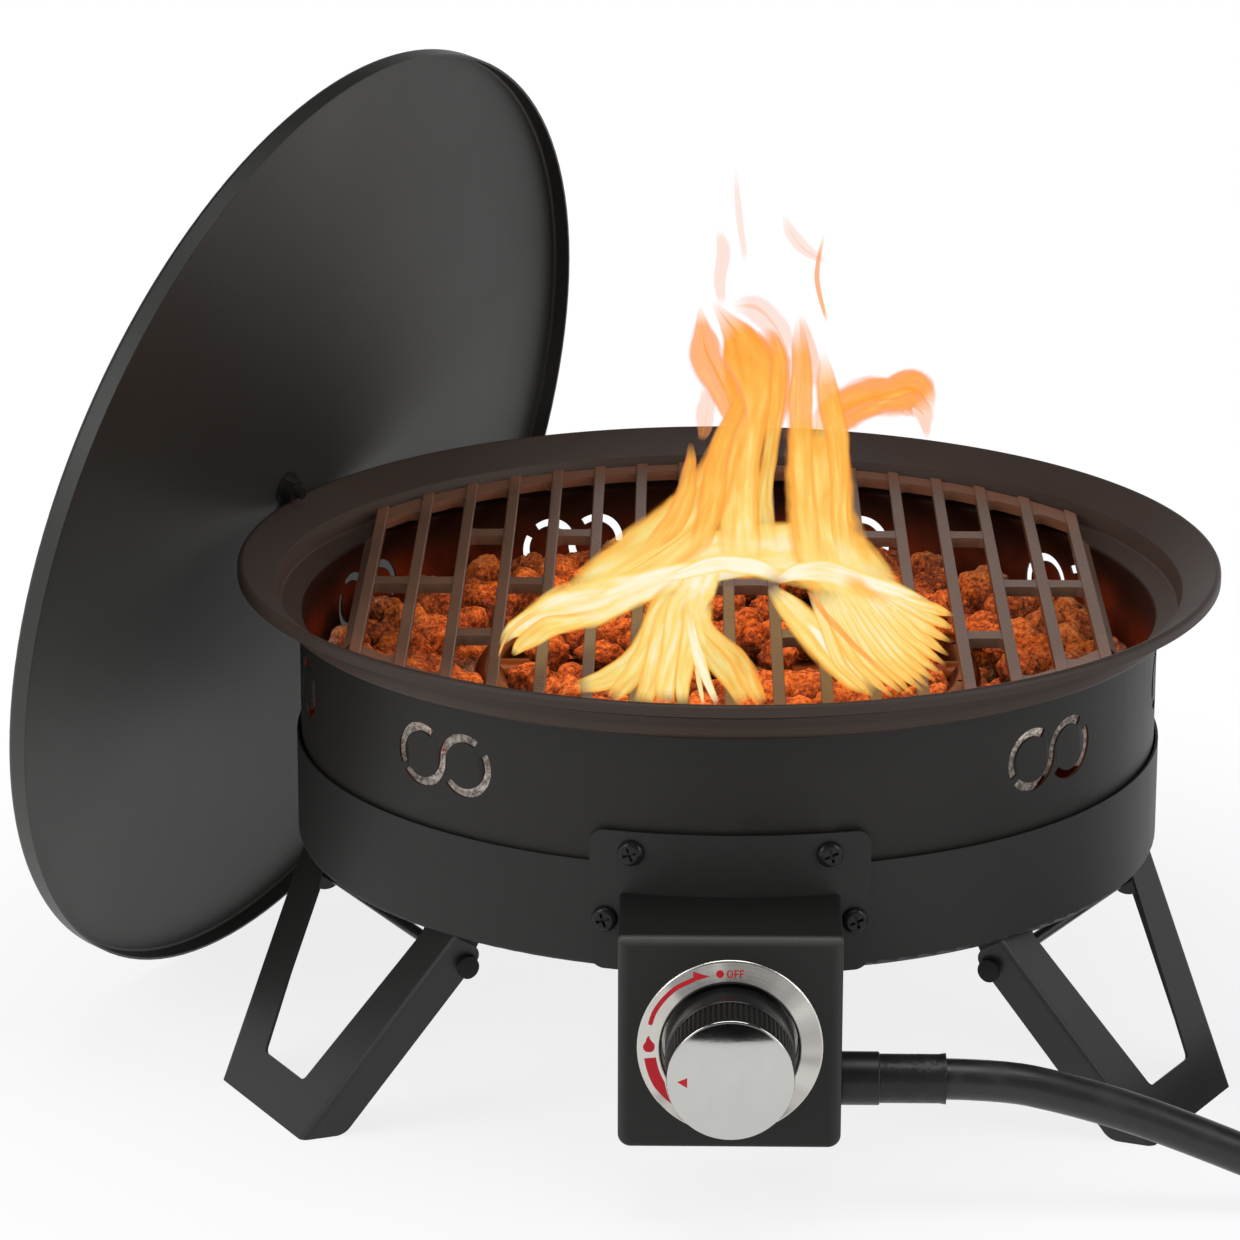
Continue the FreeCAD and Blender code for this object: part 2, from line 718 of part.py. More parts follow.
def knob_grip():
    """Ribbed grip on the front of the skirt, with a blind bore for the stem's flat."""
    points = []
    for i in range(KNOB_RIBS):
        for share, radius in ((0, KNOB_GRIP_R), (0.35, KNOB_GRIP_R), (0.7, KNOB_GRIP_R - KNOB_RIB_H)):
            angle = 2 * math.pi * (i + share) / KNOB_RIBS
            points.append(V(radius * math.cos(angle), radius * math.sin(angle), KNOB_STEP))
    grip = prism(points, [0] * len(points), UP * (KNOB_RIM - KNOB_STEP))
    return dial(grip.cut(stem_form(RUNNING)))


def stem_form(grow):
    """Round stem with a flat on its knob end, about Z, grown by a clearance."""
    stem = cylinder(STEM_R + grow, STEM_TIP + grow - STEM_END, V(0, 0, STEM_END))
    flat = STEM_R * 0.6 + grow
    return stem.cut(block(-20, 20, flat, 20, KNOB_STEP + grow, STEM_TIP + 20))


def knob_cap():
    """Domed plate over the grip."""
    return dial(dome(KNOB_CAP_R, KNOB_RIM + KNOB_CAP_EDGE, KNOB_CAP_RISE, KNOB_RIM))


def valve_stem():
    return dial(stem_form(0))


def valve_body():
    """Brass block with a stepped bore for stem and collar."""
    front = -CUP_FLOOR + BEZEL_T
    body = block(-VALVE_HALF_W, VALVE_HALF_W, front, front + VALVE_DEPTH, VALVE_Z, VALVE_TOP_Z)
    upright = [edge for edge in body.Edges if edge.BoundBox.ZLength > 1]
    body = body.makeFillet(2.0, upright)
    travel = KNOB_PUSH + END_GAP
    bore = cylinder(STEM_R + RUNNING, 60, V(0, 0, STEM_END - travel))
    room = cylinder(COLLAR_R + RUNNING, COLLAR_T + travel + END_GAP, V(0, 0, COLLAR_BACK - travel))
    return body.cut(dial(bore.fuse(room)))


def spring_seat():
    """Collar that the knob's push moves inside the valve."""
    ring = cylinder(COLLAR_R, COLLAR_T, V(0, 0, COLLAR_BACK))
    return dial(ring.cut(cylinder(STEM_R + RUNNING, COLLAR_T, V(0, 0, COLLAR_BACK))))


# ---- Hose, regulator and tank connector ----

def inlet_fitting():
    """Elbow from the valve's underside to the sleeve on the box's side."""
    points = [V(0, EXIT_Y, VALVE_Z), V(0, EXIT_Y, EXIT_Z), V(SLEEVE_NUT_X - 8, EXIT_Y, EXIT_Z)]
    return rod(points, [0, 8, 0], INLET_R)


def hose_sleeve():
    """Black sleeve with a wider collar at the box and a flared mouth."""
    lip = SLEEVE_X - 3
    sleeve = turned([
        (0, BOX_HALF_W),
        (SLEEVE_NUT_R, BOX_HALF_W),
        (SLEEVE_NUT_R, SLEEVE_NUT_X),
        (SLEEVE_R, SLEEVE_NUT_X),
        (SLEEVE_R, lip),
        (SLEEVE_R + SLEEVE_FLARE, SLEEVE_X),
        (0, SLEEVE_X),
    ], [0, 0.8, 0.8, 0, 0, 0, 0])
    sleeve = sleeve.cut([
        cylinder(HOSE_R, HOSE_GRIP, V(0, 0, SLEEVE_X - HOSE_GRIP)),
        cylinder(INLET_R + RUNNING, SLEEVE_NUT_X - 8 - BOX_HALF_W, V(0, 0, BOX_HALF_W)),
    ])
    return sleeve.rotated(ORIGIN, V(0, 1, 0), 90).translated(V(0, EXIT_Y, EXIT_Z))


def hose_route():
    """Out of the sleeve, down under its own weight and along the floor to the coil."""
    floor = HOSE_R
    coil_x, coil_y = COIL_AT
    lane_y = coil_y - COIL_LANE_R
    return [
        V(SLEEVE_X - HOSE_GRIP, EXIT_Y, EXIT_Z),
        V(124, EXIT_Y, EXIT_Z),
        V(154, EXIT_Y, 57.6),
        V(186, EXIT_Y, 48),
        V(217, EXIT_Y, 36),
        V(249, EXIT_Y, 22.5),
        V(283, EXIT_Y - 0.4, floor + 3),
        V(320, EXIT_Y - 1.2, floor),
        V(358, EXIT_Y - 2.0, floor),
        V(coil_x, lane_y, floor),
    ]


def coil_form():
    """Closed ring that the neat turns fill."""
    inner = COIL_LANE_R - (2 * COIL_LANES - 1) * HOSE_R
    outer = COIL_LANE_R + HOSE_R
    height = 2 * COIL_LAYERS * HOSE_R
    ring = turned([(inner, 0), (outer, 0), (outer, height), (inner, height)], [HOSE_R * 0.7] * 4)
    return ring.translated(V(COIL_AT[0], COIL_AT[1], 0))


def tail_route():
    """From the coil's top outer lane down to the regulator."""
    coil_x, coil_y = COIL_AT
    x = coil_x + COIL_LANE_R
    lane_z = (2 * COIL_LAYERS - 1) * HOSE_R
    end = REG_Y - REG_R - REG_PORT_L + HOSE_GRIP
    return [
        V(x, coil_y, lane_z),
        V(x + 0.5, coil_y + 28, lane_z - 0.3),
        V(x + 0.6, coil_y + 57, lane_z - 1.2),
        V(x, coil_y + 86, REG_Z),
        V(x, end, REG_Z),
    ]


def hose_between(points, radius, name):
    """Hose along a route, with its bend radii and its volume against section times length."""
    radii = bend_radii(points)
    spine = rounded(points, radii, shut=False)
    shape = rod(points, radii, radius)
    section = math.pi * radius ** 2
    print(name, "bends", [round(r) for r in radii[1:-1]], "length", round(spine.Length, 1))
    print(name, "volume over section times length", round(shape.Volume / (section * spine.Length), 4))
    return shape


def regulator_body():
    """Round casting that lies on the floor, with a crimped port for the hose."""
    x = COIL_AT[0] + COIL_LANE_R
    drum = turned([(0, 0), (REG_R, 0), (REG_R, REG_H), (0, REG_H)], [0, 6, 2, 0])
    drum = drum.translated(V(x, REG_Y, 0))
    back = REG_Y - REG_R - REG_PORT_L
    port = cylinder(REG_PORT_R, REG_PORT_L + REG_R, V(x, back, REG_Z), V(0, 1, 0))
    collar = cylinder(REG_PORT_R + 2, 8, V(x, REG_Y - REG_R - 6, REG_Z), V(0, 1, 0))
    boss = cylinder(REG_PORT_R + 2, REG_R + 4, V(x, REG_Y, REG_Z), V(0, 1, 0))
    casting = joined([drum, port, collar, boss])
    return casting.cut(cylinder(HOSE_R, HOSE_GRIP, V(x, back, REG_Z), V(0, 1, 0)))


def regulator_cap():
    """Diaphragm cover with its flange and its vent."""
    x = COIL_AT[0] + COIL_LANE_R
    flange = 4.0
    crown = turned(
        [(0, 0), (REG_CAP_R, 0), (REG_CAP_R, flange), (REG_R - 8, flange), (REG_R - 12, REG_CAP_H), (0, REG_CAP_H)],
        [0, 1, 1, 1, 2, 0],
    )
    vent = cylinder(4, 3, V(0, -14, REG_CAP_H))
    return crown.fuse(vent).translated(V(x, REG_Y, REG_H))


def tank_nipple():
    """Brass nipple with the shoulder that draws it into the tank's valve."""
    start = REG_R + 4
    shoulder = start + 13
    nipple = turned([
        (0, start),
        (11, start),
        (11, start + 6),
        (8, start + 6),
        (8, shoulder),
        (12, shoulder),
        (12, shoulder + 4),
        (NIPPLE_PROBE_R, shoulder + 4),
        (NIPPLE_PROBE_R, start + 33),
        (0, start + 33),
    ])
    nipple = nipple.cut(cylinder(2.5, 60, V(0, 0, start + 6)))
    return on_tank_axis(nipple)


def tank_nut():
    """Fluted hand nut that turns on the nipple."""
    start = REG_R + 12
    flutes = []
    for i in range(NUT_FLUTES):
        angle = 2 * math.pi * i / NUT_FLUTES
        spot = V((NUT_R + 2.5) * math.cos(angle), (NUT_R + 2.5) * math.sin(angle), start)
        flutes.append(cylinder(4.5, NUT_L, spot))
    nut = turned([(0, start), (NUT_R, start), (NUT_R, start + NUT_L), (0, start + NUT_L)], [0, 2, 2, 0])
    nut = nut.cut(flutes + [
        cylinder(8 + RUNNING, NUT_L, V(0, 0, start)),
        cylinder(NIPPLE_R, NUT_L, V(0, 0, start + 4)),
    ])
    return on_tank_axis(nut)


def on_tank_axis(shape):
    """Turn a shape made about Z to point away from the regulator's port."""
    x = COIL_AT[0] + COIL_LANE_R
    return shape.rotated(ORIGIN, V(1, 0, 0), -90).translated(V(x, REG_Y, REG_Z))


# ---- Legs ----

def leg_local(u, v, w=0):
    """Point of a leg at the front: u across, v up the plate, w inwards from its face."""
    tilt = math.radians(LEG_TILT)
    radius = LEG_FOOT_R - v * math.sin(tilt) - w * math.cos(tilt)
    return V(u, -radius, v * math.cos(tilt) - w * math.sin(tilt))


def leg_trapezoid(half, spread, low, high, w):
    """Symmetric trapezoid in the plane w of a leg."""
    return [
        leg_local(-half - spread * low, low, w),
        leg_local(half + spread * low, low, w),
        leg_local(half + spread * high, high, w),
        leg_local(-half - spread * high, high, w),
    ]


def leg_tray(inset, w, depth):
    """Solid between the flanges of a leg, its two slanted edges rounded."""
    half = LEG_FOOT_HALF_W - inset * math.hypot(1, LEG_SPREAD)
    inward = leg_local(0, 0, 1) - leg_local(0, 0, 0)
    tray = prism(leg_trapezoid(half, LEG_SPREAD, -30, 150, w), [0] * 4, inward * depth)
    outer = []
    for edge in tray.Edges:
        ends = [vertex.Point for vertex in edge.Vertexes]
        on_face = all(abs((end - leg_local(0, 0, w)).dot(inward)) < 0.01 for end in ends)
        if on_face and edge.Length > 170:
            outer.append(edge)
    return tray.makeFillet(LEG_BEND_R - inset, [edge for edge in outer if edge.BoundBox.XLength < 60])


def leg():
    """Bent plate with a window and two flanges, cut level by the floor and the pan."""
    tilt = math.radians(LEG_TILT)
    top = (PAN_Z - SEAT) / math.cos(tilt)
    plate = leg_tray(0, 0, LEG_FLANGE).cut(leg_tray(LEG_T, LEG_T, LEG_FLANGE + 10))
    side = [
        leg_local(-100, 0, 0),
        leg_local(-100, top, 0),
        leg_local(-100, top, LEG_FLANGE),
        leg_local(-100, LEG_FLANGE * math.tan(tilt), LEG_FLANGE),
    ]
    plate = plate.common(prism(side, [0, 0, 7, 8], V(200, 0, 0)))
    window = leg_trapezoid(WINDOW_HALF_W - WINDOW_SPREAD * WINDOW_V, WINDOW_SPREAD, WINDOW_V, WINDOW_TOP_V, -5)
    inward = leg_local(0, 0, 1) - leg_local(0, 0, 0)
    plate = plate.cut(prism(window, [WINDOW_CORNER_R] * 4, inward * (LEG_T + 8)))
    return plate.cut(cylinder(PIN_R + 0.02, 200, leg_local(-100, PIN_V, PIN_W), V(1, 0, 0)))


def leg_pin():
    """Hinge pin through the flanges and the bracket, headed at both ends."""
    half = LEG_FOOT_HALF_W + LEG_SPREAD * (PIN_V + PIN_HEAD_R) + SEAT
    pin = cylinder(PIN_R, 2 * half + 2, leg_local(-half - 1, PIN_V, PIN_W), V(1, 0, 0))
    heads = []
    for start in (-half - PIN_HEAD_T, half):
        heads.append(cylinder(PIN_HEAD_R, PIN_HEAD_T, leg_local(start, PIN_V, PIN_W), V(1, 0, 0)))
    return joined([pin] + heads)


def leg_bracket():
    """Channel under the pan with an ear inside each flange of the leg."""
    pin = leg_local(0, PIN_V, PIN_W)
    top = PAN_Z - pin.z
    ear = []
    for out, up in ((-16, top), (2, top), (EAR_R, 3), (EAR_R, -EAR_R), (-EAR_R, -EAR_R), (-EAR_R, 3)):
        ear.append(V(-EAR_AT - EAR_T / 2, pin.y - out, pin.z + up))
    ears = [prism(ear, [0, 0, 2, EAR_R - 0.2, EAR_R - 0.2, 2], V(EAR_T, 0, 0))]
    ears.append(ears[0].translated(V(2 * EAR_AT, 0, 0)))
    half = EAR_AT + EAR_T / 2
    web = block(-half, half, pin.y - 2, pin.y + 16, PAN_Z - EAR_T, PAN_Z)
    bracket = joined(ears + [web])
    return bracket.cut(cylinder(PIN_R + RUNNING, 200, V(-100, pin.y, pin.z), V(1, 0, 0)))


# ---- Lid ----

def lean(shape):
    """Put a shape made about Z, hollow side down, where the lid leans."""
    tipped = shape.rotated(ORIGIN, V(1, 0, 0), -90 - LID_TILT)
    lean_angle = math.radians(-LID_TILT)
    lift = LID_R * math.cos(lean_angle) + LID_EDGE * math.sin(lean_angle) + LID_FOOT_GAP
    inwards = LID_INSIDE + (lift - RIM_Z) * math.tan(lean_angle)
    at = V(-LID_ASIDE, RIM_R - inwards, lift)
    return tipped.translated(at).rotated(ORIGIN, UP, LID_AZ)


def lid():
    """Shallow dome with a turned-down edge."""
    forms = []
    for gap in (0, SHEET):
        form = dome(LID_R - gap, -gap, LID_DOME, -LID_EDGE - gap)
        fold = [edge for edge in form.Edges if abs(edge.BoundBox.ZMin + gap) < 0.01 and edge.BoundBox.ZLength < 0.01]
        forms.append(form.makeFillet(LID_BEND_R - gap, fold))
    hole = cylinder(LID_SCREW_R + SCREW_FREE, 60, V(0, -LID_KNOB_OFF, -30))
    return lean(forms[0].cut([forms[1], hole]))


def lid_knob():
    """Heat-proof knob on the far side of the lid."""
    knob = turned(
        [
            (0, 0),
            (LID_KNOB_R * 0.55, 0),
            (LID_KNOB_R * 0.5, LID_KNOB_H * 0.45),
            (LID_KNOB_R, LID_KNOB_H * 0.6),
            (LID_KNOB_R, LID_KNOB_H),
            (0, LID_KNOB_H),
        ],
        [0, 1, 4, 3, 5, 0],
    )
    knob = knob.cut(cylinder(LID_SCREW_R, 14, ORIGIN))
    return lean(knob.translated(V(0, -LID_KNOB_OFF, LID_DOME)))


def lid_screw():
    """Threaded rod from the knob to the hollow side."""
    end = LID_DOME - SHEET - LID_WASHER_T - LID_NUT_H - LID_SCREW_OUT
    rod_form = cylinder(LID_SCREW_R, LID_DOME + 14 - end, V(0, -LID_KNOB_OFF, end))
    return lean(rod_form)


def lid_washer():
    base = LID_DOME - SHEET - DOME_SEAT - LID_WASHER_T
    washer = cylinder(LID_WASHER_R, LID_WASHER_T, V(0, -LID_KNOB_OFF, base))
    return lean(washer.cut(cylinder(LID_SCREW_R + SCREW_FREE, 60, V(0, -LID_KNOB_OFF, -30))))


def lid_nut():
    nut = hexagon(LID_NUT_R, LID_NUT_H).cut(cylinder(LID_SCREW_R, LID_NUT_H, ORIGIN))
    base = LID_DOME - SHEET - DOME_SEAT - LID_WASHER_T - LID_NUT_H
    return lean(nut.translated(V(0, -LID_KNOB_OFF, base)))


# ---- Export ----

def main():
    os.makedirs("parts", exist_ok=True)
    pieces = {
        "fire_bowl": fire_bowl(),
        "base_pan": base_pan(),
        "spacer_posts": spacer_posts(),
        "base_screws": base_screws(),
        "base_nuts": base_nuts(),
        "cooking_grate": cooking_grate(),
        "burner_ring": burner_ring(),
        "burner_mixer": burner_mixer(),
        "orifice": orifice(),
        "gas_pipe": gas_pipe(),
        "lava_rocks": lava_rocks(),
        "mount_plate": mount_plate(),
        "mount_screws": mount_screws(),
        "control_box": control_box(),
        "bezel": bezel(),
        "knob_skirt": knob_skirt(),
        "knob_grip": knob_grip(),
        "knob_cap": knob_cap(),
        "valve_stem": valve_stem(),
        "valve_body": valve_body(),
        "spring_seat": spring_seat(),
        "inlet_fitting": inlet_fitting(),
        "hose_sleeve": hose_sleeve(),
        "hose": hose_between(hose_route(), HOSE_R, "hose"),
        "hose_coil": coil_form(),
        "hose_tail": hose_between(tail_route(), HOSE_R, "hose_tail"),
        "regulator_body": regulator_body(),
        "regulator_cap": regulator_cap(),
        "tank_nipple": tank_nipple(),
        "tank_nut": tank_nut(),
        "lid": lid(),
        "lid_knob": lid_knob(),
        "lid_screw": lid_screw(),
        "lid_washer": lid_washer(),
        "lid_nut": lid_nut(),
    }
    for name, azimuth in LEG_AZ.items():
        pieces["leg_" + name] = around(leg(), azimuth)
        pieces["leg_pin_" + name] = around(leg_pin(), azimuth)
        pieces["leg_bracket_" + name] = around(leg_bracket(), azimuth)
    for name, shape in pieces.items():
        shape.exportStep("parts/" + name + ".step")
        valid = shape.isValid() and shape.Volume > 0
        print(name, "solids", len(shape.Solids), "volume", round(shape.Volume), "" if valid else "NOT VALID")
    print("lid to bowl", round(pieces["lid"].distToShape(pieces["fire_bowl"])[0], 3))


main()
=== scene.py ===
import math
import random

import bmesh
import bpy
from mathutils import Matrix, Vector, noise


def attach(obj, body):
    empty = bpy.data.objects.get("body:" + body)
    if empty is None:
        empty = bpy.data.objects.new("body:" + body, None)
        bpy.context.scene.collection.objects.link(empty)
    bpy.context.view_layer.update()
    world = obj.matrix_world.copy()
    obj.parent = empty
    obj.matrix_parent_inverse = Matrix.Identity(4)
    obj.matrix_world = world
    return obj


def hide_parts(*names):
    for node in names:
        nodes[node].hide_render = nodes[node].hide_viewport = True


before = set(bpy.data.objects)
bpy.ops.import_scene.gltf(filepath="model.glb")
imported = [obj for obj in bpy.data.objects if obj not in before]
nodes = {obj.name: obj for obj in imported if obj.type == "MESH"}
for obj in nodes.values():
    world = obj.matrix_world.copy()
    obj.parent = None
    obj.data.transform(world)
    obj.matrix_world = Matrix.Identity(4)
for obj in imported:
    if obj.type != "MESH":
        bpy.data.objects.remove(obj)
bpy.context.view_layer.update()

# ---- Studio ----
# A white sweep with a dim ceiling over it, three soft boxes and a low fill, a black card behind
# the camera for the chrome to reflect, and a camera with a long lens.


class Layer:
    """A value or colour that varies over a surface, as one output of a node."""

    def __init__(self, finish, socket):
        self.finish = finish
        self.socket = socket

    def math(self, operation, *values):
        return self.finish.node("Math", {"operation": operation}, dict(enumerate(values)))

    def __add__(self, other):
        return self.math("ADD", self, other)

    def __sub__(self, other):
        return self.math("SUBTRACT", self, other)

    def __mul__(self, other):
        return self.math("MULTIPLY", self, other)

    def __truediv__(self, other):
        return self.math("DIVIDE", self, other)

    def __pow__(self, other):
        return self.math("POWER", self, other)

    def __rsub__(self, other):
        return self.math("SUBTRACT", other, self)

    def __rtruediv__(self, other):
        return self.math("DIVIDE", other, self)

    __radd__ = __add__
    __rmul__ = __mul__


class Finish:
    """A material, or the studio's air, made node by node."""

    def __init__(self, owner):
        owner.use_nodes = True
        self.owner = owner
        self.tree = owner.node_tree
        self.tree.nodes.clear()

    def node(self, kind, settings={}, sockets={}, out=0):
        made = self.tree.nodes.new("ShaderNode" + kind)
        for name, value in settings.items():
            if name == "stops":
                ramp = made.color_ramp
                while len(ramp.elements) < len(value):
                    ramp.elements.new(0.5)
                for element, (at, colour) in zip(ramp.elements, value):
                    element.position = at
                    element.color = (*colour, 1.0)
            else:
                setattr(made, name, value)
        for name, value in sockets.items():
            if isinstance(value, Layer):
                self.tree.links.new(value.socket, made.inputs[name])
            elif hasattr(value, "__len__") and len(value) == 3 and made.inputs[name].type == "RGBA":
                made.inputs[name].default_value = (*value, 1.0)
            else:
                made.inputs[name].default_value = value
        return Layer(self, made.outputs[out]) if len(made.outputs) else None

    def place(self):
        """Position on the object, in metres."""
        return self.node("TexCoord", out="Object")

    def axes(self, where):
        """The three coordinates of a position."""
        return [self.node("SeparateXYZ", {}, {0: where}, out=axis) for axis in range(3)]

    def scaled(self, where, scale):
        return self.node("VectorMath", {"operation": "MULTIPLY"}, {0: where, 1: scale})

    def grain(self, where, scale, detail=3.0, roughness=0.5):
        """Cloudy noise from 0 to 1, with blotches of about 1 / scale metres."""
        return self.node("TexNoise", {}, {
            "Vector": where, "Scale": scale, "Detail": detail, "Roughness": roughness})

    def between(self, value, low, high):
        """0 below low and 1 above high, smooth between them."""
        return self.node("MapRange", {"interpolation_type": "SMOOTHSTEP"}, {
            "Value": value, "From Min": low, "From Max": high})

    def blend(self, mask, under, over):
        """The colour under, covered by the colour over where the mask is 1."""
        return self.node("Mix", {"data_type": "RGBA"}, {0: mask, 6: under, 7: over}, out=2)

    def surface(self, colour, roughness, metallic=0.0, height=None, depth=0.0, **even):
        """The finished skin. Height is a relief from 0 to 1, and depth its full size in metres."""
        sockets = {"Base Color": colour, "Roughness": roughness, "Metallic": metallic}
        sockets.update({name.replace("_", " "): value for name, value in even.items()})
        if height is not None:
            sockets["Normal"] = self.node("Bump", {}, {"Height": height, "Distance": depth})
        skin = self.node("BsdfPrincipled", {}, sockets)
        self.node("OutputMaterial", {}, {"Surface": skin})
        return self.owner


def new_finish(name):
    return Finish(bpy.data.materials.new(name))


air = Finish(bpy.data.worlds.new("studio"))
bpy.context.scene.world = air.owner
height_of_ray = air.axes(air.node("TexCoord", out="Generated"))[2]
ceiling = air.between(height_of_ray, 0.05, 0.62)
walls = air.blend(ceiling, (0.98, 0.98, 0.98), (0.05, 0.05, 0.05))
seen = air.blend(air.node("LightPath", out="Is Camera Ray"), walls, (1.0, 1.0, 1.0))
background = air.node("Background", {}, {"Color": seen, "Strength": 1.0})
air.node("OutputWorld", {}, {"Surface": background})

bpy.ops.mesh.primitive_plane_add(size=14)
floor = bpy.context.object
floor.name = "studio_floor"
paper = new_finish("white_paper")
from_middle = paper.node("VectorMath", {"operation": "LENGTH"}, {0: paper.place()}, out="Value")
from_camera = paper.node("LightPath", out="Is Camera Ray")
looked_at = from_camera.math("MAXIMUM", from_camera, paper.node("LightPath", out="Is Glossy Ray"))
shaded = paper.node("BsdfDiffuse", {}, {"Color": (0.88, 0.88, 0.88)})
lit = paper.node("Emission", {}, {"Color": (1.0, 1.0, 1.0), "Strength": 1.0})
paper.node("OutputMaterial", {}, {"Surface": paper.node("MixShader", {}, {
    0: looked_at * (0.82 + 0.18 * paper.between(from_middle, 0.28, 0.60)), 1: shaded, 2: lit})})
floor.data.materials.append(paper.owner)


def lamp(name, kind, at, aim, watts, colour=(1.0, 1.0, 1.0), **shape):
    light = bpy.data.lights.new(name, kind)
    light.energy = watts
    light.color = colour
    for setting, value in shape.items():
        setattr(light, setting, value)
    stand = bpy.data.objects.new(name, light)
    stand.location = at
    stand.rotation_euler = (Vector(aim) - Vector(at)).to_track_quat("-Z", "Y").to_euler()
    stand.visible_camera = False
    bpy.context.scene.collection.objects.link(stand)
    return stand


for name, at, size, size_y, watts in (
        ("left_soft_box", (-2.2, -1.6, 1.9), 1.4, 1.8, 34),
        ("right_soft_box", (2.4, -1.2, 1.6), 1.2, 1.8, 26),
        ("top_soft_box", (0.0, -0.45, 2.4), 1.8, 1.0, 25)):
    lamp(name, "AREA", at, (0, 0, 0.2), watts, shape="RECTANGLE", size=size, size_y=size_y)

low_fill = lamp(
    "low_fill", "AREA", (-0.8, -2.6, 0.5), (-0.15, 0, 0.25), 14,
    shape="RECTANGLE", size=2.0, size_y=0.6)
low_fill.visible_glossy = False

bpy.ops.mesh.primitive_plane_add(
    size=1, location=(0, -3.3, 0.665), rotation=(math.radians(90), 0, 0))
card = bpy.context.object
card.name = "black_card"
card.scale = (3.0, 0.89, 1)
felt = new_finish("black_felt")
felt.node("OutputMaterial", {}, {
    "Surface": felt.node("BsdfDiffuse", {}, {"Color": (0.01, 0.01, 0.01)})})
card.data.materials.append(felt.owner)
card.visible_camera = card.visible_diffuse = card.visible_shadow = False

LENS = Vector((-0.02443, -2.45939, 0.97350))
camera = bpy.data.objects.new("camera", bpy.data.cameras.new("camera"))
camera.data.sensor_width = 36
camera.data.lens = 150.83
turn, dip, roll = -0.0118, -0.3015, 0.00225
forward = Vector((math.sin(turn) * math.cos(dip), math.cos(turn) * math.cos(dip), math.sin(dip)))
level = Vector((math.cos(turn), -math.sin(turn), 0))
right = level * math.cos(roll) + level.cross(forward) * math.sin(roll)
up = right.cross(forward)
camera.matrix_world = Matrix.Translation(LENS) @ Matrix((right, up, -forward)).transposed().to_4x4()
bpy.context.scene.collection.objects.link(camera)
bpy.context.scene.camera = camera
bpy.context.scene.view_settings.view_transform = "Standard"

# ---- Gas hose ----
# Three metres of black rubber hose: it drops from the sleeve to the floor and is wound in two
# lanes and two layers beside the fire pit, with the last quarter turn on top of them, and its
# end is crimped in the regulator's port.

HOSE = 0.0095  # outside radius
COIL_X, COIL_Y = 0.395, -0.1275
OUTER_LANE, INNER_LANE = 0.117, 0.098  # centreline of each lane
TURN = 16  # steps in one turn of the coil
TO_INNER, TO_OUTER, COIL_END = 15, 47, 69  # steps at which the hose changes lane, and its last one
RISES = (30, 62)  # steps at which it climbs on the layer below

route = [
    (0.0874, -0.242, 0.0642), (0.124, -0.242, 0.0642), (0.154, -0.242, 0.0576),
    (0.186, -0.242, 0.048), (0.217, -0.242, 0.036), (0.249, -0.242, 0.0225),
    (0.283, -0.2424, 0.0125), (0.32, -0.2432, 0.0095), (0.358, -0.244, 0.0095)]
for step in range(COIL_END):
    lane = INNER_LANE if TO_INNER <= step < TO_OUTER else OUTER_LANE
    layer = sum((step >= rise) + (step > rise) for rise in RISES) / 2
    angle = math.radians(-90 + 360 * step / TURN)
    corner = lane / math.cos(math.pi / TURN)
    route.append((
        COIL_X + corner * math.cos(angle), COIL_Y + corner * math.sin(angle),
        HOSE * (1 + 2 * layer)))
route += [
    (0.5125, -0.0995, 0.0455), (0.5126, -0.0705, 0.0360), (0.512, -0.0415, 0.0270),
    (0.512, -0.013, 0.0263)]

curve = bpy.data.curves.new("gas_hose", "CURVE")
curve.dimensions = "3D"
curve.bevel_depth = HOSE
curve.bevel_resolution = 6
curve.resolution_u = 6
curve.use_fill_caps = True
line = curve.splines.new("NURBS")
line.points.add(len(route) - 1)
for point, at in zip(line.points, route):
    point.co = (*at, 1.0)
line.order_u = 3
line.use_endpoint_u = True
hose = bpy.data.objects.new("gas_hose", curve)
bpy.context.scene.collection.objects.link(hose)

rubber = new_finish("hose_rubber")
place = rubber.place()
dust = rubber.between(rubber.grain(place, 60, 4), 0.45, 0.75)
scuffs = rubber.between(rubber.grain(rubber.scaled(place, (1, 5, 5)), 220, 4), 0.55, 0.7)
curve.materials.append(rubber.surface(
    rubber.blend(dust * 0.35, (0.009, 0.009, 0.009), (0.022, 0.021, 0.020)),
    0.36 + dust * 0.12 + scuffs * 0.1,
    height=rubber.grain(place, 1400, 2) * 0.5 + scuffs * 0.5, depth=0.00006))
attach(hose, "base")
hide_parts("hose", "hose_coil", "hose_tail")

# ---- Regulator and tank nut ----
# Die-cast regulator painted hammer grey with a crimped cap, and a hand nut of moulded nylon
# that turns on the brass nipple.


def dress(finish, *names):
    """Gives a finish to pieces that keep the shape they have."""
    for name in names:
        slots = nodes[name].data.materials
        slots.clear()
        slots.append(finish)


hammer = new_finish("regulator_paint")
place = hammer.place()
dimples = hammer.node("TexVoronoi", {"feature": "SMOOTH_F1"}, {"Vector": place, "Scale": 420.0})
dress(hammer.surface(
    hammer.blend(dimples, (0.19, 0.19, 0.20), (0.10, 0.10, 0.105)), 0.30 + dimples * 0.2, 0.35,
    height=dimples, depth=0.0003), "regulator_body", "regulator_cap")

nylon = new_finish("nut_nylon")
place = nylon.place()
spark = nylon.grain(place, 1800, 2)
dress(nylon.surface(
    nylon.blend(nylon.grain(place, 45), (0.010, 0.010, 0.011), (0.020, 0.020, 0.021)),
    0.42 + spark * 0.15, height=spark, depth=0.00008), "tank_nut")

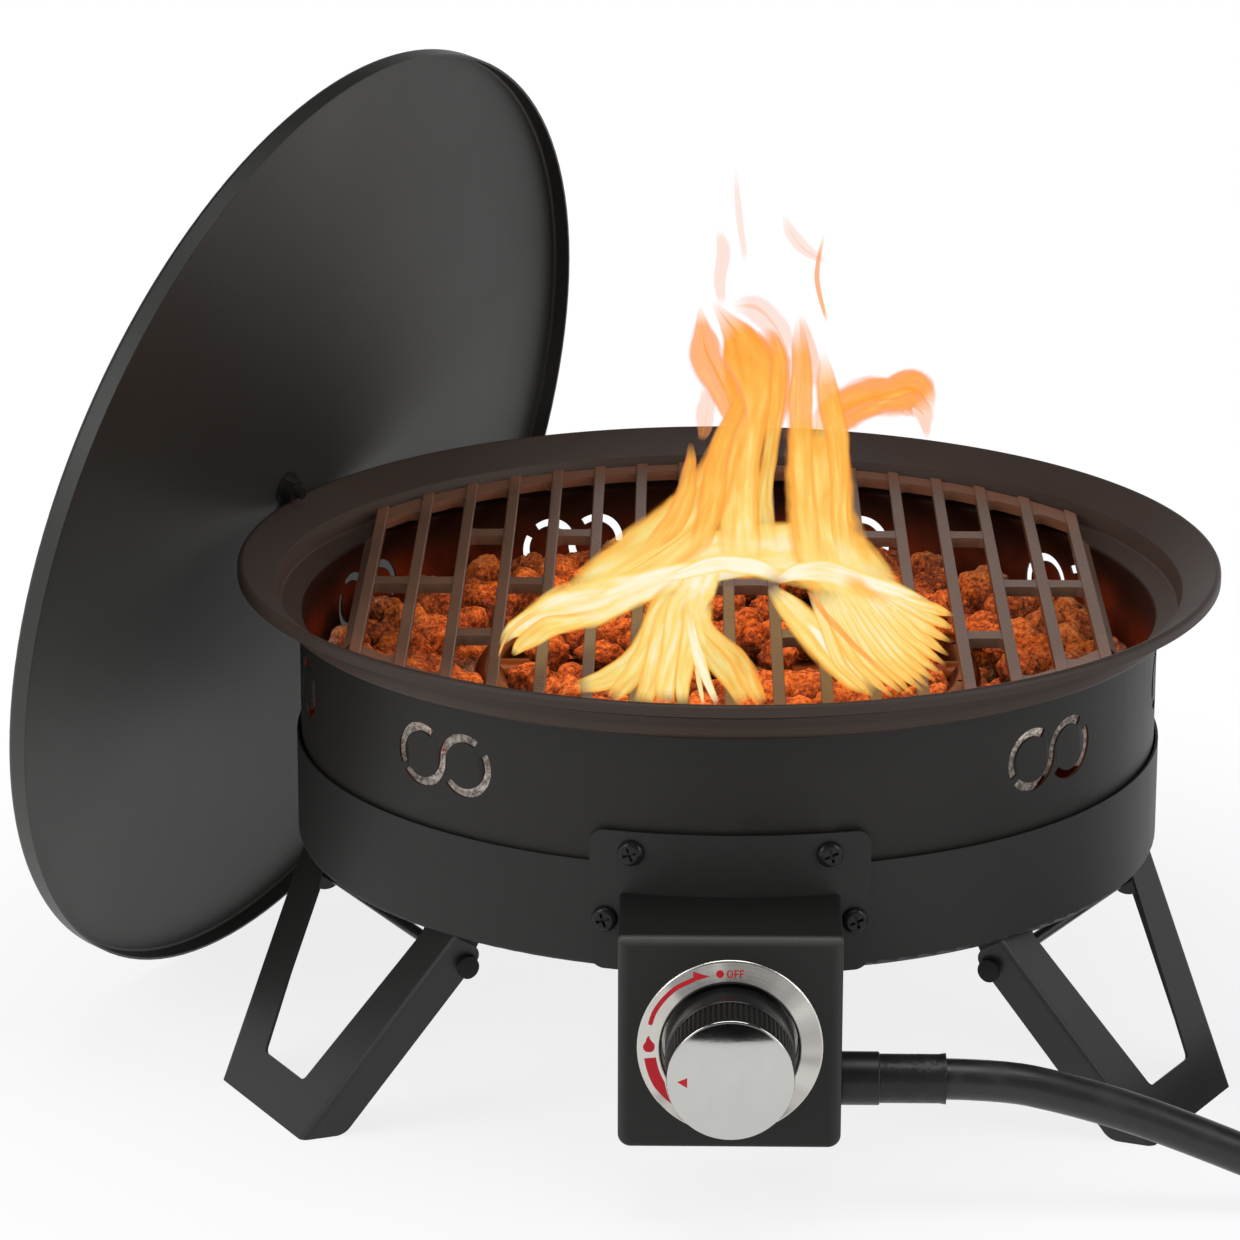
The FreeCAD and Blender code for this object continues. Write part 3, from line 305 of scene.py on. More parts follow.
brass = new_finish("brass")
place = brass.place()
tarnish = brass.between(brass.grain(place, 120, 4), 0.45, 0.72)
turned_lines = brass.grain(brass.scaled(place, (30, 900, 30)), 1.0, 2)
dress(brass.surface(
    brass.blend(tarnish * 0.6, (0.72, 0.47, 0.19), (0.36, 0.22, 0.09)), 0.22 + tarnish * 0.25, 1.0,
    height=turned_lines, depth=0.00004),
    "tank_nipple", "valve_body", "inlet_fitting", "orifice", "spring_seat")

# ---- Hose sleeve ----
# A smooth moulded collar at the box's side, then shrink tube that has wrinkled a little round
# the crimp of the hose. It sits on the inlet fitting.

COLLAR_END = 0.069

sleeve_skin = new_finish("shrink_tube")
place = sleeve_skin.place()
wrinkles = sleeve_skin.grain(sleeve_skin.scaled(place, (160, 90, 90)), 1.0, 3)
along = sleeve_skin.axes(place)[0]
past_collar = sleeve_skin.between(along, COLLAR_END - 0.001, COLLAR_END + 0.005)
dress(sleeve_skin.surface(
    sleeve_skin.blend(wrinkles, (0.006, 0.006, 0.006), (0.014, 0.014, 0.014)),
    0.32 + wrinkles * 0.1,
    height=wrinkles * past_collar, depth=0.0012, Specular_IOR_Level=0.32), "hose_sleeve")

# ---- Legs, brackets and pins ----
# Folded steel trays with a window, black powder coat baked on. Each swings on a blackened pin
# between the ears of a small bracket under the pan.


def powder_coat(name, tone, roughness=0.46, speck=0.25):
    """Baked powder paint: fine orange peel, a little uneven gloss and some dust in it."""
    coat = new_finish(name)
    spot = coat.place()
    peel = coat.grain(spot, 1100, 2)
    cloud = coat.grain(spot, 14, 4)
    dust_in_it = coat.between(coat.grain(spot, 420, 2), 0.66, 0.78)
    bright = tuple(channel * 1.5 + 0.004 for channel in tone)
    paint = coat.blend(dust_in_it * speck, tone, bright)
    return coat, paint, roughness + cloud * 0.1 + dust_in_it * 0.06, peel


coat, colour, gloss, peel = powder_coat("leg_paint", (0.0105, 0.0100, 0.0092))
leg_paint = coat.surface(colour, gloss - 0.08, height=peel, depth=0.00008, Specular_IOR_Level=0.42)
dress(leg_paint, "leg_bracket_left", "leg_bracket_right", "leg_bracket_rear")

LEG_TILT = math.radians(32.07)
FOOT_R = 0.2602
WINDOW_TOP = 0.106  # up the plate from the foot, where the solid has it
WINDOW_HALF = 0.0515  # widest half of the window
WINDOW_UP, WINDOW_OUT = 0.012, 0.0042  # how far its top edge moves up the plate and to each side
for side, azimuth in (("left", -60), ("right", 60), ("rear", 180)):
    azimuth = math.radians(azimuth)
    outwards = Vector((math.sin(azimuth), -math.cos(azimuth), 0))
    across = Vector((math.cos(azimuth), math.sin(azimuth), 0))
    up_plate = Vector((0, 0, math.cos(LEG_TILT))) - outwards * math.sin(LEG_TILT)
    plate = nodes["leg_" + side].data.copy()
    for vert in plate.vertices:
        from_foot = vert.co - outwards * FOOT_R
        aside = from_foot.dot(across)
        if abs(from_foot.dot(up_plate) - WINDOW_TOP) < 0.0025 and abs(aside) < WINDOW_HALF:
            vert.co += up_plate * WINDOW_UP + across * math.copysign(WINDOW_OUT, aside)
    plate.materials.clear()
    plate.materials.append(leg_paint)
    leg = bpy.data.objects.new("leg_plate_" + side, plate)
    bpy.context.scene.collection.objects.link(leg)
    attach(leg, "leg_" + side)
    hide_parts("leg_" + side)

oxide = new_finish("black_oxide")
place = oxide.place()
black_steel = oxide.surface(
    oxide.blend(oxide.grain(place, 300), (0.010, 0.010, 0.010), (0.026, 0.025, 0.024)), 0.30, 0.4,
    height=oxide.grain(place, 900), depth=0.00004)
dress(black_steel, "leg_pin_left", "leg_pin_right", "leg_pin_rear")

# ---- Base pan and mount plate ----
# The deep-drawn pan and the plate that wraps it, in the same black powder coat, with
# zinc-plated posts, screws and nuts under the bowl.

coat, colour, gloss, peel = powder_coat("pan_paint", (0.0150, 0.0144, 0.0136))
dress(coat.surface(
    colour, gloss, height=peel, depth=0.00010, Specular_IOR_Level=0.28), "base_pan", "mount_plate")

zinc = new_finish("zinc_plate")
place = zinc.place()
spangle = zinc.grain(place, 300, 4)
dress(zinc.surface(
    zinc.blend(spangle, (0.50, 0.50, 0.50), (0.66, 0.66, 0.64)), 0.26 + spangle * 0.2, 1.0,
    height=spangle, depth=0.00005), "spacer_posts", "base_screws", "base_nuts", "valve_stem")

# ---- Fire bowl ----
# Spun steel bowl: a wall with punched vents, a ledge for the grate, and a flared flange with a
# turned-down lip. Its black paint is browned on the flange and the step, partly heat tint and
# partly painted firelight, and the inner wall carries a painted red glow of the fire low down.

SHEET = 0.0012
FOLD = 0.001  # inside radius of the bends
LIP = (0.2420, 0.2380)
RIM = (0.2420, 0.2455)
STEP_TOP = (0.2235, 0.2322)
LEDGE = (0.2213, 0.2227)
WALL_TOP = (0.2106, 0.2190)
JOIN_Z = 0.2100  # below it, the wall keeps the shape it has


def filleted(line, radii, steps=6):
    """The line's points, with an arc of each radius in place of its corners."""
    line = [Vector(point) for point in line]
    points = [line[0]]
    for before, corner, after, radius in zip(line, line[1:], line[2:], radii):
        back = (before - corner).normalized()
        ahead = (after - corner).normalized()
        half = back.angle(ahead) / 2
        centre = corner + (back + ahead).normalized() * radius / math.sin(half)
        start = corner + back * radius / math.tan(half) - centre
        end = corner + ahead * radius / math.tan(half) - centre
        sweep = start.angle(end)
        for step in range(steps + 1):
            share = step / steps
            spoke = start * math.sin((1 - share) * sweep) + end * math.sin(share * sweep)
            points.append(centre + spoke / math.sin(sweep))
    return points + [line[-1]]


def spun(form, section, segments):
    """Adds a ring to the form: a closed section of (radius, height) points turned about Z."""
    rings = []
    for segment in range(segments):
        angle = 2 * math.pi * segment / segments
        across, along = math.cos(angle), math.sin(angle)
        rings.append([form.verts.new((p.x * across, p.x * along, p.y)) for p in section])
    for here, following in zip(rings, rings[1:] + rings[:1]):
        for i in range(len(section)):
            form.faces.new((here[i - 1], following[i - 1], following[i], here[i]))


def add_piece(name, form, finish, body):
    """Turns the form into a piece of the body, with smooth faces and crisp folds."""
    mesh = bpy.data.meshes.new(name)
    form.to_mesh(mesh)
    form.free()
    mesh.polygons.foreach_set("use_smooth", [True] * len(mesh.polygons))
    mesh.set_sharp_from_angle(angle=math.radians(32))
    mesh.materials.append(finish)
    piece = bpy.data.objects.new(name, mesh)
    bpy.context.scene.collection.objects.link(piece)
    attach(piece, body)
    return piece


bowl_form = bmesh.new()
bowl_form.from_mesh(nodes["fire_bowl"].data)
bmesh.ops.remove_doubles(bowl_form, verts=bowl_form.verts, dist=0.000002)
bmesh.ops.bisect_plane(
    bowl_form, geom=[*bowl_form.verts, *bowl_form.edges, *bowl_form.faces], dist=0.000001,
    plane_co=(0, 0, JOIN_Z), plane_no=(0, 0, 1), clear_outer=True)
bmesh.ops.bridge_loops(bowl_form, edges=[painted_rim_highlight for painted_rim_highlight in bowl_form.edges if painted_rim_highlight.is_boundary])
upper_face = filleted(
    [LIP, RIM, STEP_TOP, LEDGE, WALL_TOP, (WALL_TOP[0], JOIN_Z)],
    [FOLD + SHEET, FOLD, FOLD + SHEET, FOLD + SHEET])
section = []
for i, point in enumerate(upper_face):
    run = (upper_face[min(i + 1, len(upper_face) - 1)] - upper_face[max(i - 1, 0)]).normalized()
    section.append(point + Vector((-run.y, run.x)) * SHEET)
spun(bowl_form, upper_face[::-1] + section, 360)
bmesh.ops.recalc_face_normals(bowl_form, faces=bowl_form.faces)

coat, colour, gloss, peel = powder_coat("bowl_paint", (0.0125, 0.0115, 0.0105))
place = coat.place()
x, y, z = coat.axes(place)
reach = (x * x + y * y) ** 0.5
soot = coat.grain(place, 22, 5)
flange = coat.between(reach, STEP_TOP[0] - 0.0003, STEP_TOP[0] + 0.0007)
on_step = coat.between(z, WALL_TOP[1] - 0.0020, WALL_TOP[1] + 0.0010) * (1 - flange)
inner_wall = 1 - coat.between(reach, WALL_TOP[0] + 0.00035, WALL_TOP[0] + 0.00055)
# Painted firelight: the inner wall is red low down, just over the rocks where the flames light it,
# and dark brown higher up; blotches of soot darken it.
near_top = coat.between(z, 0.186, 0.213)
soot_and_painted_glow = coat.blend(near_top, (0.30, 0.045, 0.012), (0.024, 0.009, 0.006))
soot_and_painted_glow = coat.blend(coat.between(soot, 0.35, 0.75), soot_and_painted_glow, (0.014, 0.006, 0.004))
toned = coat.blend(inner_wall, colour, soot_and_painted_glow)
# The step is brown, partly heat tint and partly painted firelight.
toned = coat.blend(on_step, toned, coat.blend(soot, (0.034, 0.021, 0.016), (0.050, 0.032, 0.024)))
# The flange is brown, partly heat tint and partly painted firelight.
browned_and_firelit = coat.blend(soot, (0.029, 0.0185, 0.0145), (0.039, 0.0255, 0.0205))
toned = coat.blend(flange, toned, browned_and_firelit)
bowl = add_piece("bowl", bowl_form, coat.surface(
    toned, gloss, height=peel, depth=0.00010, Specular_IOR_Level=0.28), "base")
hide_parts("fire_bowl")

# ---- Burner ----
# Stainless ring and cross tube with drilled ports, browned by the heat. They stand on the steel
# mixer tube that comes up through the bowl's floor.

burner = new_finish("burner_steel")
place = burner.place()
heat = burner.grain(place, 35, 4)
brushed = burner.grain(burner.scaled(place, (80, 80, 900)), 1.0, 2)
dress(burner.surface(
    burner.node("ValToRGB", {"stops": [
        (0.30, (0.035, 0.014, 0.010)), (0.45, (0.085, 0.028, 0.014)), (0.60, (0.13, 0.045, 0.020)),
        (0.75, (0.06, 0.035, 0.030))]}, {0: heat}),
    0.26 + heat * 0.16, 0.9, height=brushed, depth=0.00004),
    "burner_ring", "burner_mixer", "gas_pipe")

# ---- Lava rocks ----
# Loose tumbled lumps of porous lava in their own grey, kept at the foot of the heap and near
# the wall. Where the flames play on the heap their glow is painted into the rocks' colour and
# emission, with painted light on the crests of the lumps and painted shade between them.

random.seed(7)
BOWL_FLOOR = 0.1512
UNDER_GRATE = 0.2150
RING_R, RING_TOP = 0.118, 0.188
HEAP_R, HUB_R = 0.2035, 0.026  # the heap keeps clear of the wall and of the burner's hub
RING_ROCKS, WALL_ROCKS = 34, 90  # places tried along the burner ring and along the wall
BARE_X, BARE_Y = 0.100, 0.060  # outside and in front of these, no rock hides the burner ring


def lump(form, seed):
    """One rounded lump from a fine ball, dented by three sizes of noise."""
    offset = Vector((seed * 3.7, seed * 1.9, seed * 5.3))
    stretch = Vector((
        random.uniform(0.9, 1.25), random.uniform(0.8, 1.1), random.uniform(0.7, 0.95)))
    made = []
    for vert in form:
        push = 1 + 0.34 * noise.noise(vert * 1.1 + offset) + 0.20 * noise.noise(vert * 2.6 + offset)
        push += 0.09 * noise.noise(vert * 6.0 + offset) + 0.05 * noise.noise(vert * 13.0 + offset)
        made.append(Vector((vert.x * stretch.x, vert.y * stretch.y, vert.z * stretch.z)) * push)
    return made


ball = bmesh.new()
bmesh.ops.create_icosphere(ball, subdivisions=4, radius=1.0)
ball_verts = [vert.co.copy() for vert in ball.verts]
ball_faces = [[vert.index for vert in face.verts] for face in ball.faces]
ball.free()
lumps = [lump(ball_verts, seed) for seed in range(9)]

spots = []
for layer, (pitch, height) in enumerate(((0.0335, 0.0155), (0.0290, 0.0345))):
    for row in range(-8, 9):
        for column in range(-8, 9):
            along_row = column + 0.5 * (row % 2) + 0.37 * layer
            at = Vector((along_row * pitch, row * pitch * 0.866 + 0.008 * layer, 0))
            at += Vector((random.uniform(-1, 1), random.uniform(-1, 1), 0)) * 0.0035
            size = random.uniform(0.0150, 0.0180) if layer == 0 else random.uniform(0.0140, 0.0172)
            from_axis = at.length
            if from_axis > HEAP_R - size or (layer == 0 and from_axis < HUB_R + size):
                continue
            near_ring = abs(from_axis - RING_R) < 0.010 + size * 0.7
            near_cross = from_axis < RING_R and abs(at.y) < 0.010 + size * 0.7
            if layer == 1 and (near_ring or near_cross):
                if abs(at.x) > BARE_X and at.y < BARE_Y:
                    continue
                size *= 0.78
                at.z = RING_TOP + size * 0.72
            else:
                at.z = BOWL_FLOOR + height + random.uniform(-0.001, 0.002)
            spots.append((at, size))

for step in range(RING_ROCKS):
    angle = 2 * math.pi * (step + 0.3 * random.uniform(-1, 1)) / RING_ROCKS
    at = Vector((RING_R * math.cos(angle), RING_R * math.sin(angle), 0))
    at *= random.uniform(0.95, 1.05)
    if abs(at.x) < BARE_X or at.y > BARE_Y:
        size = random.uniform(0.0095, 0.0120)
        at.z = RING_TOP + size * 0.65
        spots.append((at, size))

for step in range(WALL_ROCKS):  # fills the gaps that are left along the wall
    angle = 2 * math.pi * step / WALL_ROCKS
    size = 0.0132
    at = Vector((0.190 * math.cos(angle), 0.190 * math.sin(angle), BOWL_FLOOR + 0.036))
    if all((at - other).length > 0.70 * (size + other_size) for other, other_size in spots):
        spots.append((at, size))

# crest holds how high each point sits on its lump, for painted light on the crests and painted
# shade between the lumps.
points, faces, crest = [], [], []
for at, size in spots:
    spin = Matrix.Rotation(random.uniform(0, 6.28), 4, "Z")
    spin = spin @ Matrix.Rotation(random.uniform(-0.6, 0.6), 4, "X")
    base = len(points)
    for point in random.choice(lumps):
        on_lump = spin @ (point * size * 0.88)
        crest.append(0.5 + on_lump.z / (2.4 * size) + (point.length - 1.0) * 0.5)
        points.append(Vector((
            at.x + on_lump.x, at.y + on_lump.y, min(at.z + on_lump.z, UNDER_GRATE))))
    faces += [[base + corner for corner in face] for face in ball_faces]
mesh = bpy.data.meshes.new("rock_bed")
mesh.from_pydata(points, [], faces)
mesh.polygons.foreach_set("use_smooth", [True] * len(mesh.polygons))
mesh.attributes.new("crest", "FLOAT", "POINT").data.foreach_set("value", crest)
rocks = bpy.data.objects.new("rock_bed", mesh)
bpy.context.scene.collection.objects.link(rocks)

lava = new_finish("lava_rock")
place = lava.place()
x, y, z = lava.axes(place)
reach = (x * x + y * y) ** 0.5
pores = lava.node("TexVoronoi", {}, {"Vector": place, "Scale": 420.0})
crust = lava.grain(place, 420, 8, 0.74)
patches = lava.grain(place, 34, 3)
# Rocks behind the front vents take no painted glow and instead emit their own pale colour, as
# painted light for what comes in through the slots.
behind_front_vents = lava.between(reach, 0.172, 0.186) * (1 - lava.between(y, -0.050, -0.025))
# Painted firelight: the fire's glow is painted on the upper rocks, away from the wall.
painted_firelight = (1 - lava.between(reach + patches * 0.03, 0.203, 0.232)) * lava.between(z, 0.158, 0.176)
painted_firelight = painted_firelight * (1 - behind_front_vents)
# Painted light on the crests of the lumps, painted shade between them.
crest_light = lava.between(lava.node("Attribute", {"attribute_name": "crest"}, out="Fac"), 0.30, 0.95)
painted_glow = lava.between((crust - 0.5) * 2.2 + patches * 0.35 + crest_light * 0.45, 0.02, 0.90)
cold = lava.blend(lava.between(crust, 0.35, 0.65), (0.16, 0.14, 0.12), (0.80, 0.75, 0.67))
painted_glow_colour = lava.node("ValToRGB", {"stops": [
    (0.0, (0.055, 0.012, 0.004)), (0.30, (0.19, 0.036, 0.008)), (0.60, (0.37, 0.084, 0.016)),
    (1.0, (0.64, 0.24, 0.052))]}, {0: painted_glow})
# Painted light: the rocks behind the front vents emit their own pale colour, and where the fire
# glow is painted the rocks emit orange.
painted_emission = lava.blend(behind_front_vents, (0.0, 0.0, 0.0), cold)
painted_emission = lava.blend(painted_firelight * painted_glow, painted_emission, (0.60, 0.120, 0.016))
mesh.materials.append(lava.surface(
    lava.blend(painted_firelight, cold, painted_glow_colour), 0.85,
    height=crust * 0.7 + lava.between(pores, 0.0, 0.5) * 0.3, depth=0.0015,
    Emission_Color=painted_emission, Emission_Strength=0.22))
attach(rocks, "base")
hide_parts("lava_rocks")

# ---- Cooking grate ----
# Cast bars and short links under baked enamel, brown from use and shiny where tongs rub it. The
# grate lies loose on the bowl's ledge.

enamel = new_finish("grate_enamel")
place = enamel.place()
x, y, z = enamel.axes(place)
reach = (x * x + y * y) ** 0.5
cast = enamel.grain(place, 500, 3)
stain = enamel.grain(place, 26, 5)
edge_of_grate = enamel.between(reach, 0.190, 0.212)
taupe = enamel.blend(stain, (0.075, 0.036, 0.021), (0.140, 0.072, 0.041))
dress(enamel.surface(
    enamel.blend(edge_of_grate, taupe, (0.165, 0.072, 0.040)), 0.30 + stain * 0.2,
    height=cast, depth=0.00025), "cooking_grate")

# ---- Control box, screws and dial plate ----
# Folded box in black powder coat, held by four black screws, with a spun stainless dial plate
# that carries plain red marks.

coat, colour, gloss, peel = powder_coat("box_paint", (0.0100, 0.0097, 0.0090))
x, y, z = coat.axes(coat.place())
side_fold = coat.between(x.math("ABSOLUTE", x), 0.0450, 0.0502)
top_fold = coat.between(z, 0.1375, 0.1420)
folds = side_fold.math("MAXIMUM", side_fold * 0.35, top_fold)
# Painted highlight: the box's folds are lighter near its front face, where they catch the light,
# the sides less than the top.
painted_fold_highlight = folds * (1 - coat.between(y, -0.2670, -0.2630))
dress(coat.surface(
    coat.blend(painted_fold_highlight, colour, (0.052, 0.052, 0.049)), gloss,
    height=peel, depth=0.00008, Specular_IOR_Level=0.28), "control_box")

gloss_black = new_finish("screw_paint")
place = gloss_black.place()
chips = gloss_black.grain(place, 500, 4)
dress(gloss_black.surface(
    gloss_black.blend(chips, (0.006, 0.006, 0.006), (0.016, 0.015, 0.014)), 0.16 + chips * 0.10,
    height=chips, depth=0.00005, Specular_IOR_Level=0.22), "mount_screws")

# the dial's and the knob's sizes are in millimetres
DIAL_Z = 89.7
PLATE_BORE, PLATE_R = 31.25, 42.5
PLATE_FRONT, PLATE_FALL = 271.0, 1.5  # its bore's edge in front of the bowl's axis, and its cone
INK = 0.06  # the marks stand proud by this much

steel = new_finish("spun_steel")
x, y, z = steel.axes(steel.place())
above = z - DIAL_Z / 1000
ring = (x * x + above * above) ** 0.5
lines = steel.node("TexNoise", {"noise_dimensions": "1D"}, {
    "W": ring * 5200.0, "Scale": 1.0, "Detail": 3.0})
# Painted reflection: a fan of lighter and darker spokes round the dial stands in for the sheen of
# the spun steel, over its real spin lines.
way_out = steel.node("CombineXYZ", {}, {0: x / ring, 1: above / ring})
painted_sheen_spokes = steel.node("TexNoise", {"noise_dimensions": "2D"}, {
    "Vector": way_out, "Scale": 1.5, "Detail": 2.0})
# Painted highlight: a thin light line along the plate's outer edge.
painted_rim_highlight = steel.between(ring, 0.0412, 0.0418)
lines_and_painted_sheen = steel.between(painted_sheen_spokes, 0.35, 0.62) * 0.85 + lines * 0.12
lines_and_painted_sheen = lines_and_painted_sheen.math("MAXIMUM", lines_and_painted_sheen, painted_rim_highlight)
dress(steel.surface(
    steel.blend(lines_and_painted_sheen, (0.30, 0.285, 0.27), (0.62, 0.60, 0.56)), 0.20 + lines * 0.12, 1.0,
    height=lines, depth=0.00002), "bezel")


def on_plate(x, z):
    """A point of the dial plate's sloping face, x to the right of its axis and z above it."""
    slope = (math.hypot(x, z) - PLATE_BORE) * PLATE_FALL / (PLATE_R - PLATE_BORE)
    return Vector((x, slope - PLATE_FRONT - INK, DIAL_Z + z)) / 1000


def stroke(form, lay, line, widths):
    """Adds a printed stroke along a line, as wide as told at each of its points."""
    line = [Vector(point) for point in line]
    pair = None
    for i, (point, width) in enumerate(zip(line, widths)):
        run = (line[min(i + 1, len(line) - 1)] - line[max(i - 1, 0)]).normalized()
        side = Vector((-run.y, run.x)) * max(width, 0.02) / 2
        after = [form.verts.new(lay(*(point - side))), form.verts.new(lay(*(point + side)))]
        if pair:
            form.faces.new((pair[0], after[0], after[1], pair[1]))
        pair = after


def smooth_line(points, steps):
    """Points on a smooth curve through the given ones, with as many steps from one to the next."""
    points = [Vector(point) for point in points]
    ends = [2 * points[0] - points[1], *points, 2 * points[-1] - points[-2]]
    made = []
    for a, b, c, d in zip(ends, ends[1:], ends[2:], ends[3:]):
        for step in range(steps):
            t = step / steps
            made.append(b + (c - a) * (t / 2) + (2 * a - 5 * b + 4 * c - d) * (t * t / 2)
                        + (3 * b - a - 3 * c + d) * (t ** 3 / 2))
    return made + [points[-1]]


def arc(radius_from, radius_to, start, end, steps):
    """Points round the dial's axis, angles in degrees from the right."""
    points = []
    for step in range(steps + 1):
        share = step / steps
        angle = math.radians(start + (end - start) * share)
        radius = radius_from + (radius_to - radius_from) * share
        points.append((radius * math.cos(angle), radius * math.sin(angle)))
    return points


marks = bmesh.new()
LETTER = 0.62  # width of a letter's strokes
LETTERS_UP = 36.1  # middle of the word above the dial's axis

# the word OFF, with a dot on its left
o_turn = [step * math.pi / 10 for step in range(21)]
o_shape = [(-0.3 + 1.15 * math.cos(angle), LETTERS_UP + 1.6 * math.sin(angle)) for angle in o_turn]
stroke(marks, on_plate, o_shape, [LETTER] * 21)
for left in (2.0, 4.4):
    stroke(marks, on_plate, [(left, 34.2), (left, 38.0)], [LETTER] * 2)
    stroke(marks, on_plate, [(left, 37.7), (left + 1.6, 37.7)], [LETTER] * 2)
    stroke(marks, on_plate, [(left, LETTERS_UP), (left + 1.3, LETTERS_UP)], [LETTER] * 2)
half_turn = [step * math.pi / 12 for step in range(13)]
dot = [(-4.8 + 1.8 * math.cos(angle), LETTERS_UP) for angle in half_turn]
stroke(marks, on_plate, dot, [3.6 * math.sin(angle) for angle in half_turn])

# an arrow that sweeps up to the dot, a small flame below it, and a wedge that narrows at its end
band = smooth_line(
    [(-36.3, 11.2), (-34.7, 16.5), (-32.0, 21.2), (-28.4, 25.6), (-24.0, 29.5), (-16.5, 33.4)], 5)
stroke(marks, on_plate, band, [1.6] + [2.1] * (len(band) - 1))
stroke(marks, on_plate, [(-16.9, 34.7), (-13.1, 34.8), (-9.3, 34.9)], [4.4, 2.2, 0.0])
icon = [
    (-36.9, -1.9), (-36.9, -0.9), (-36.8, 0.5), (-36.6, 1.9), (-36.9, 3.3), (-37.1, 4.7),
    (-36.6, 6.1)]
stroke(marks, on_plate, icon, [2.4, 4.6, 5.4, 4.8, 2.6, 1.5, 0.0])
wedge = arc(36.5, 36.5, 187.5, 209, 12) + arc(36.5, 37.9, 209, 226, 8)[1:]
stroke(marks, on_plate, wedge, [5.4] * 13 + [5.4 * (1 - i / 8) for i in range(1, 9)])

red = new_finish("dial_red")
place = red.place()
worn = red.grain(place, 700, 3)
red_ink = red.surface(
    red.blend(worn, (0.36, 0.006, 0.012), (0.46, 0.010, 0.018)), 0.45 + worn * 0.1,
    height=worn, depth=0.00002, Specular_IOR_Level=0.25)
printed = add_piece("dial_marks", marks, red_ink, "base")

# ---- Knob ----
# Black moulded skirt and ribbed grip with a domed chrome cap, on a steel stem. A red pointer
# is printed on the cap.

moulded = new_finish("knob_plastic")
place = moulded.place()
fine = moulded.grain(place, 1600, 2)
dress(moulded.surface(
    moulded.blend(moulded.grain(place, 60), (0.006, 0.006, 0.006), (0.014, 0.014, 0.014)),
    0.16 + fine * 0.10, height=fine, depth=0.00003), "knob_skirt")

ribbed = new_finish("grip_plastic")
place = ribbed.place()
fine = ribbed.grain(place, 1600, 2)
dress(ribbed.surface(
    ribbed.blend(ribbed.grain(place, 60), (0.008, 0.008, 0.008), (0.018, 0.018, 0.017)),
    0.40 + fine * 0.12, height=fine, depth=0.00003, Specular_IOR_Level=0.30), "knob_grip")

chrome = new_finish("cap_chrome")
place = chrome.place()
haze = chrome.grain(place, 90, 4)
cap_chrome = chrome.surface(
    chrome.blend(haze, (0.50, 0.50, 0.48), (0.56, 0.56, 0.54)), 0.07 + haze * 0.06, 1.0,
    height=chrome.grain(place, 700), depth=0.00001)

CAP_SPHERE = 93.14  # radius of the cap's dome
CAP_R = 28.6
CAP_BACK, CAP_EDGE, CAP_APEX = 307.0, 308.5, 313.0  # in front of the bowl's axis
section = [Vector(point) for point in (
    (0.0, CAP_BACK), (CAP_R - 0.3, CAP_BACK), (CAP_R, CAP_BACK + 0.3),
    (CAP_R, CAP_EDGE - 0.5), (CAP_R - 0.15, CAP_EDGE - 0.12))]
for step in range(33):
    radius = (CAP_R - 0.4) * (1 - step / 32)
    dome = math.sqrt(CAP_SPHERE ** 2 - radius ** 2)
    section.append(Vector((radius, CAP_APEX - CAP_SPHERE + dome)))
cap_form = bmesh.new()
spun(cap_form, section, 96)
bmesh.ops.remove_doubles(cap_form, verts=cap_form.verts, dist=0.001)
bmesh.ops.transform(cap_form, verts=cap_form.verts, matrix=Matrix.Translation((0, 0, DIAL_Z / 1000))
                    @ Matrix.Rotation(math.radians(90), 4, "X") @ Matrix.Scale(0.001, 4))
bmesh.ops.recalc_face_normals(cap_form, faces=cap_form.faces)
cap = add_piece("cap", cap_form, cap_chrome, "knob")
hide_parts("knob_cap")


def on_cap(x, z):
    """A point of the cap's domed face, x to the right of its axis and z above it."""
    fall = CAP_SPHERE - math.sqrt(CAP_SPHERE ** 2 - x * x - z * z)
    return Vector((x, fall - CAP_APEX - INK, DIAL_Z + z)) / 1000


pointer_form = bmesh.new()
arrow = [(-19.4 - 0.75 * i, -0.2) for i in range(7)]
stroke(pointer_form, on_cap, arrow, [4.8 * (1 - i / 6) for i in range(7)])
pointer = add_piece("knob_pointer", pointer_form, red_ink, "knob")

# ---- Lid ----
# Spun steel lid in black powder coat that leans on the rim, hollow side to the fire pit, with a
# moulded knob on its far side and a black nut on this one.

coat, colour, gloss, peel = powder_coat("lid_paint", (0.0170, 0.0172, 0.0155), roughness=0.40)
# Painted light: the lid's paint is lighter low down and darker high up, to even out the light that
# falls on it.
painted_light_by_height = coat.between(coat.axes(coat.place())[2], 0.06, 0.42)
colour = coat.blend(painted_light_by_height, (0.036, 0.036, 0.033), (0.009, 0.009, 0.008))
dress(coat.surface(colour, gloss, height=peel, depth=0.00008, Specular_IOR_Level=0.40), "lid")
dress(black_steel, "lid_screw", "lid_washer", "lid_nut")

phenolic = new_finish("lid_knob_plastic")
place = phenolic.place()
dress(phenolic.surface(
    phenolic.blend(phenolic.grain(place, 80), (0.008, 0.008, 0.008), (0.018, 0.017, 0.016)), 0.32,
    height=phenolic.grain(place, 1200), depth=0.00005), "lid_knob")

# ---- Flames ----
# Burning gas over the ring, as sheets of light with no weight and nothing that fastens them. Each
# tongue is drawn as it shows from the front, and stays in the air just over the bars or higher.

OVER_BARS = 0.2345
LIFT = 0.00005  # for each millimetre of depth, so that no two tongues lie in one plane

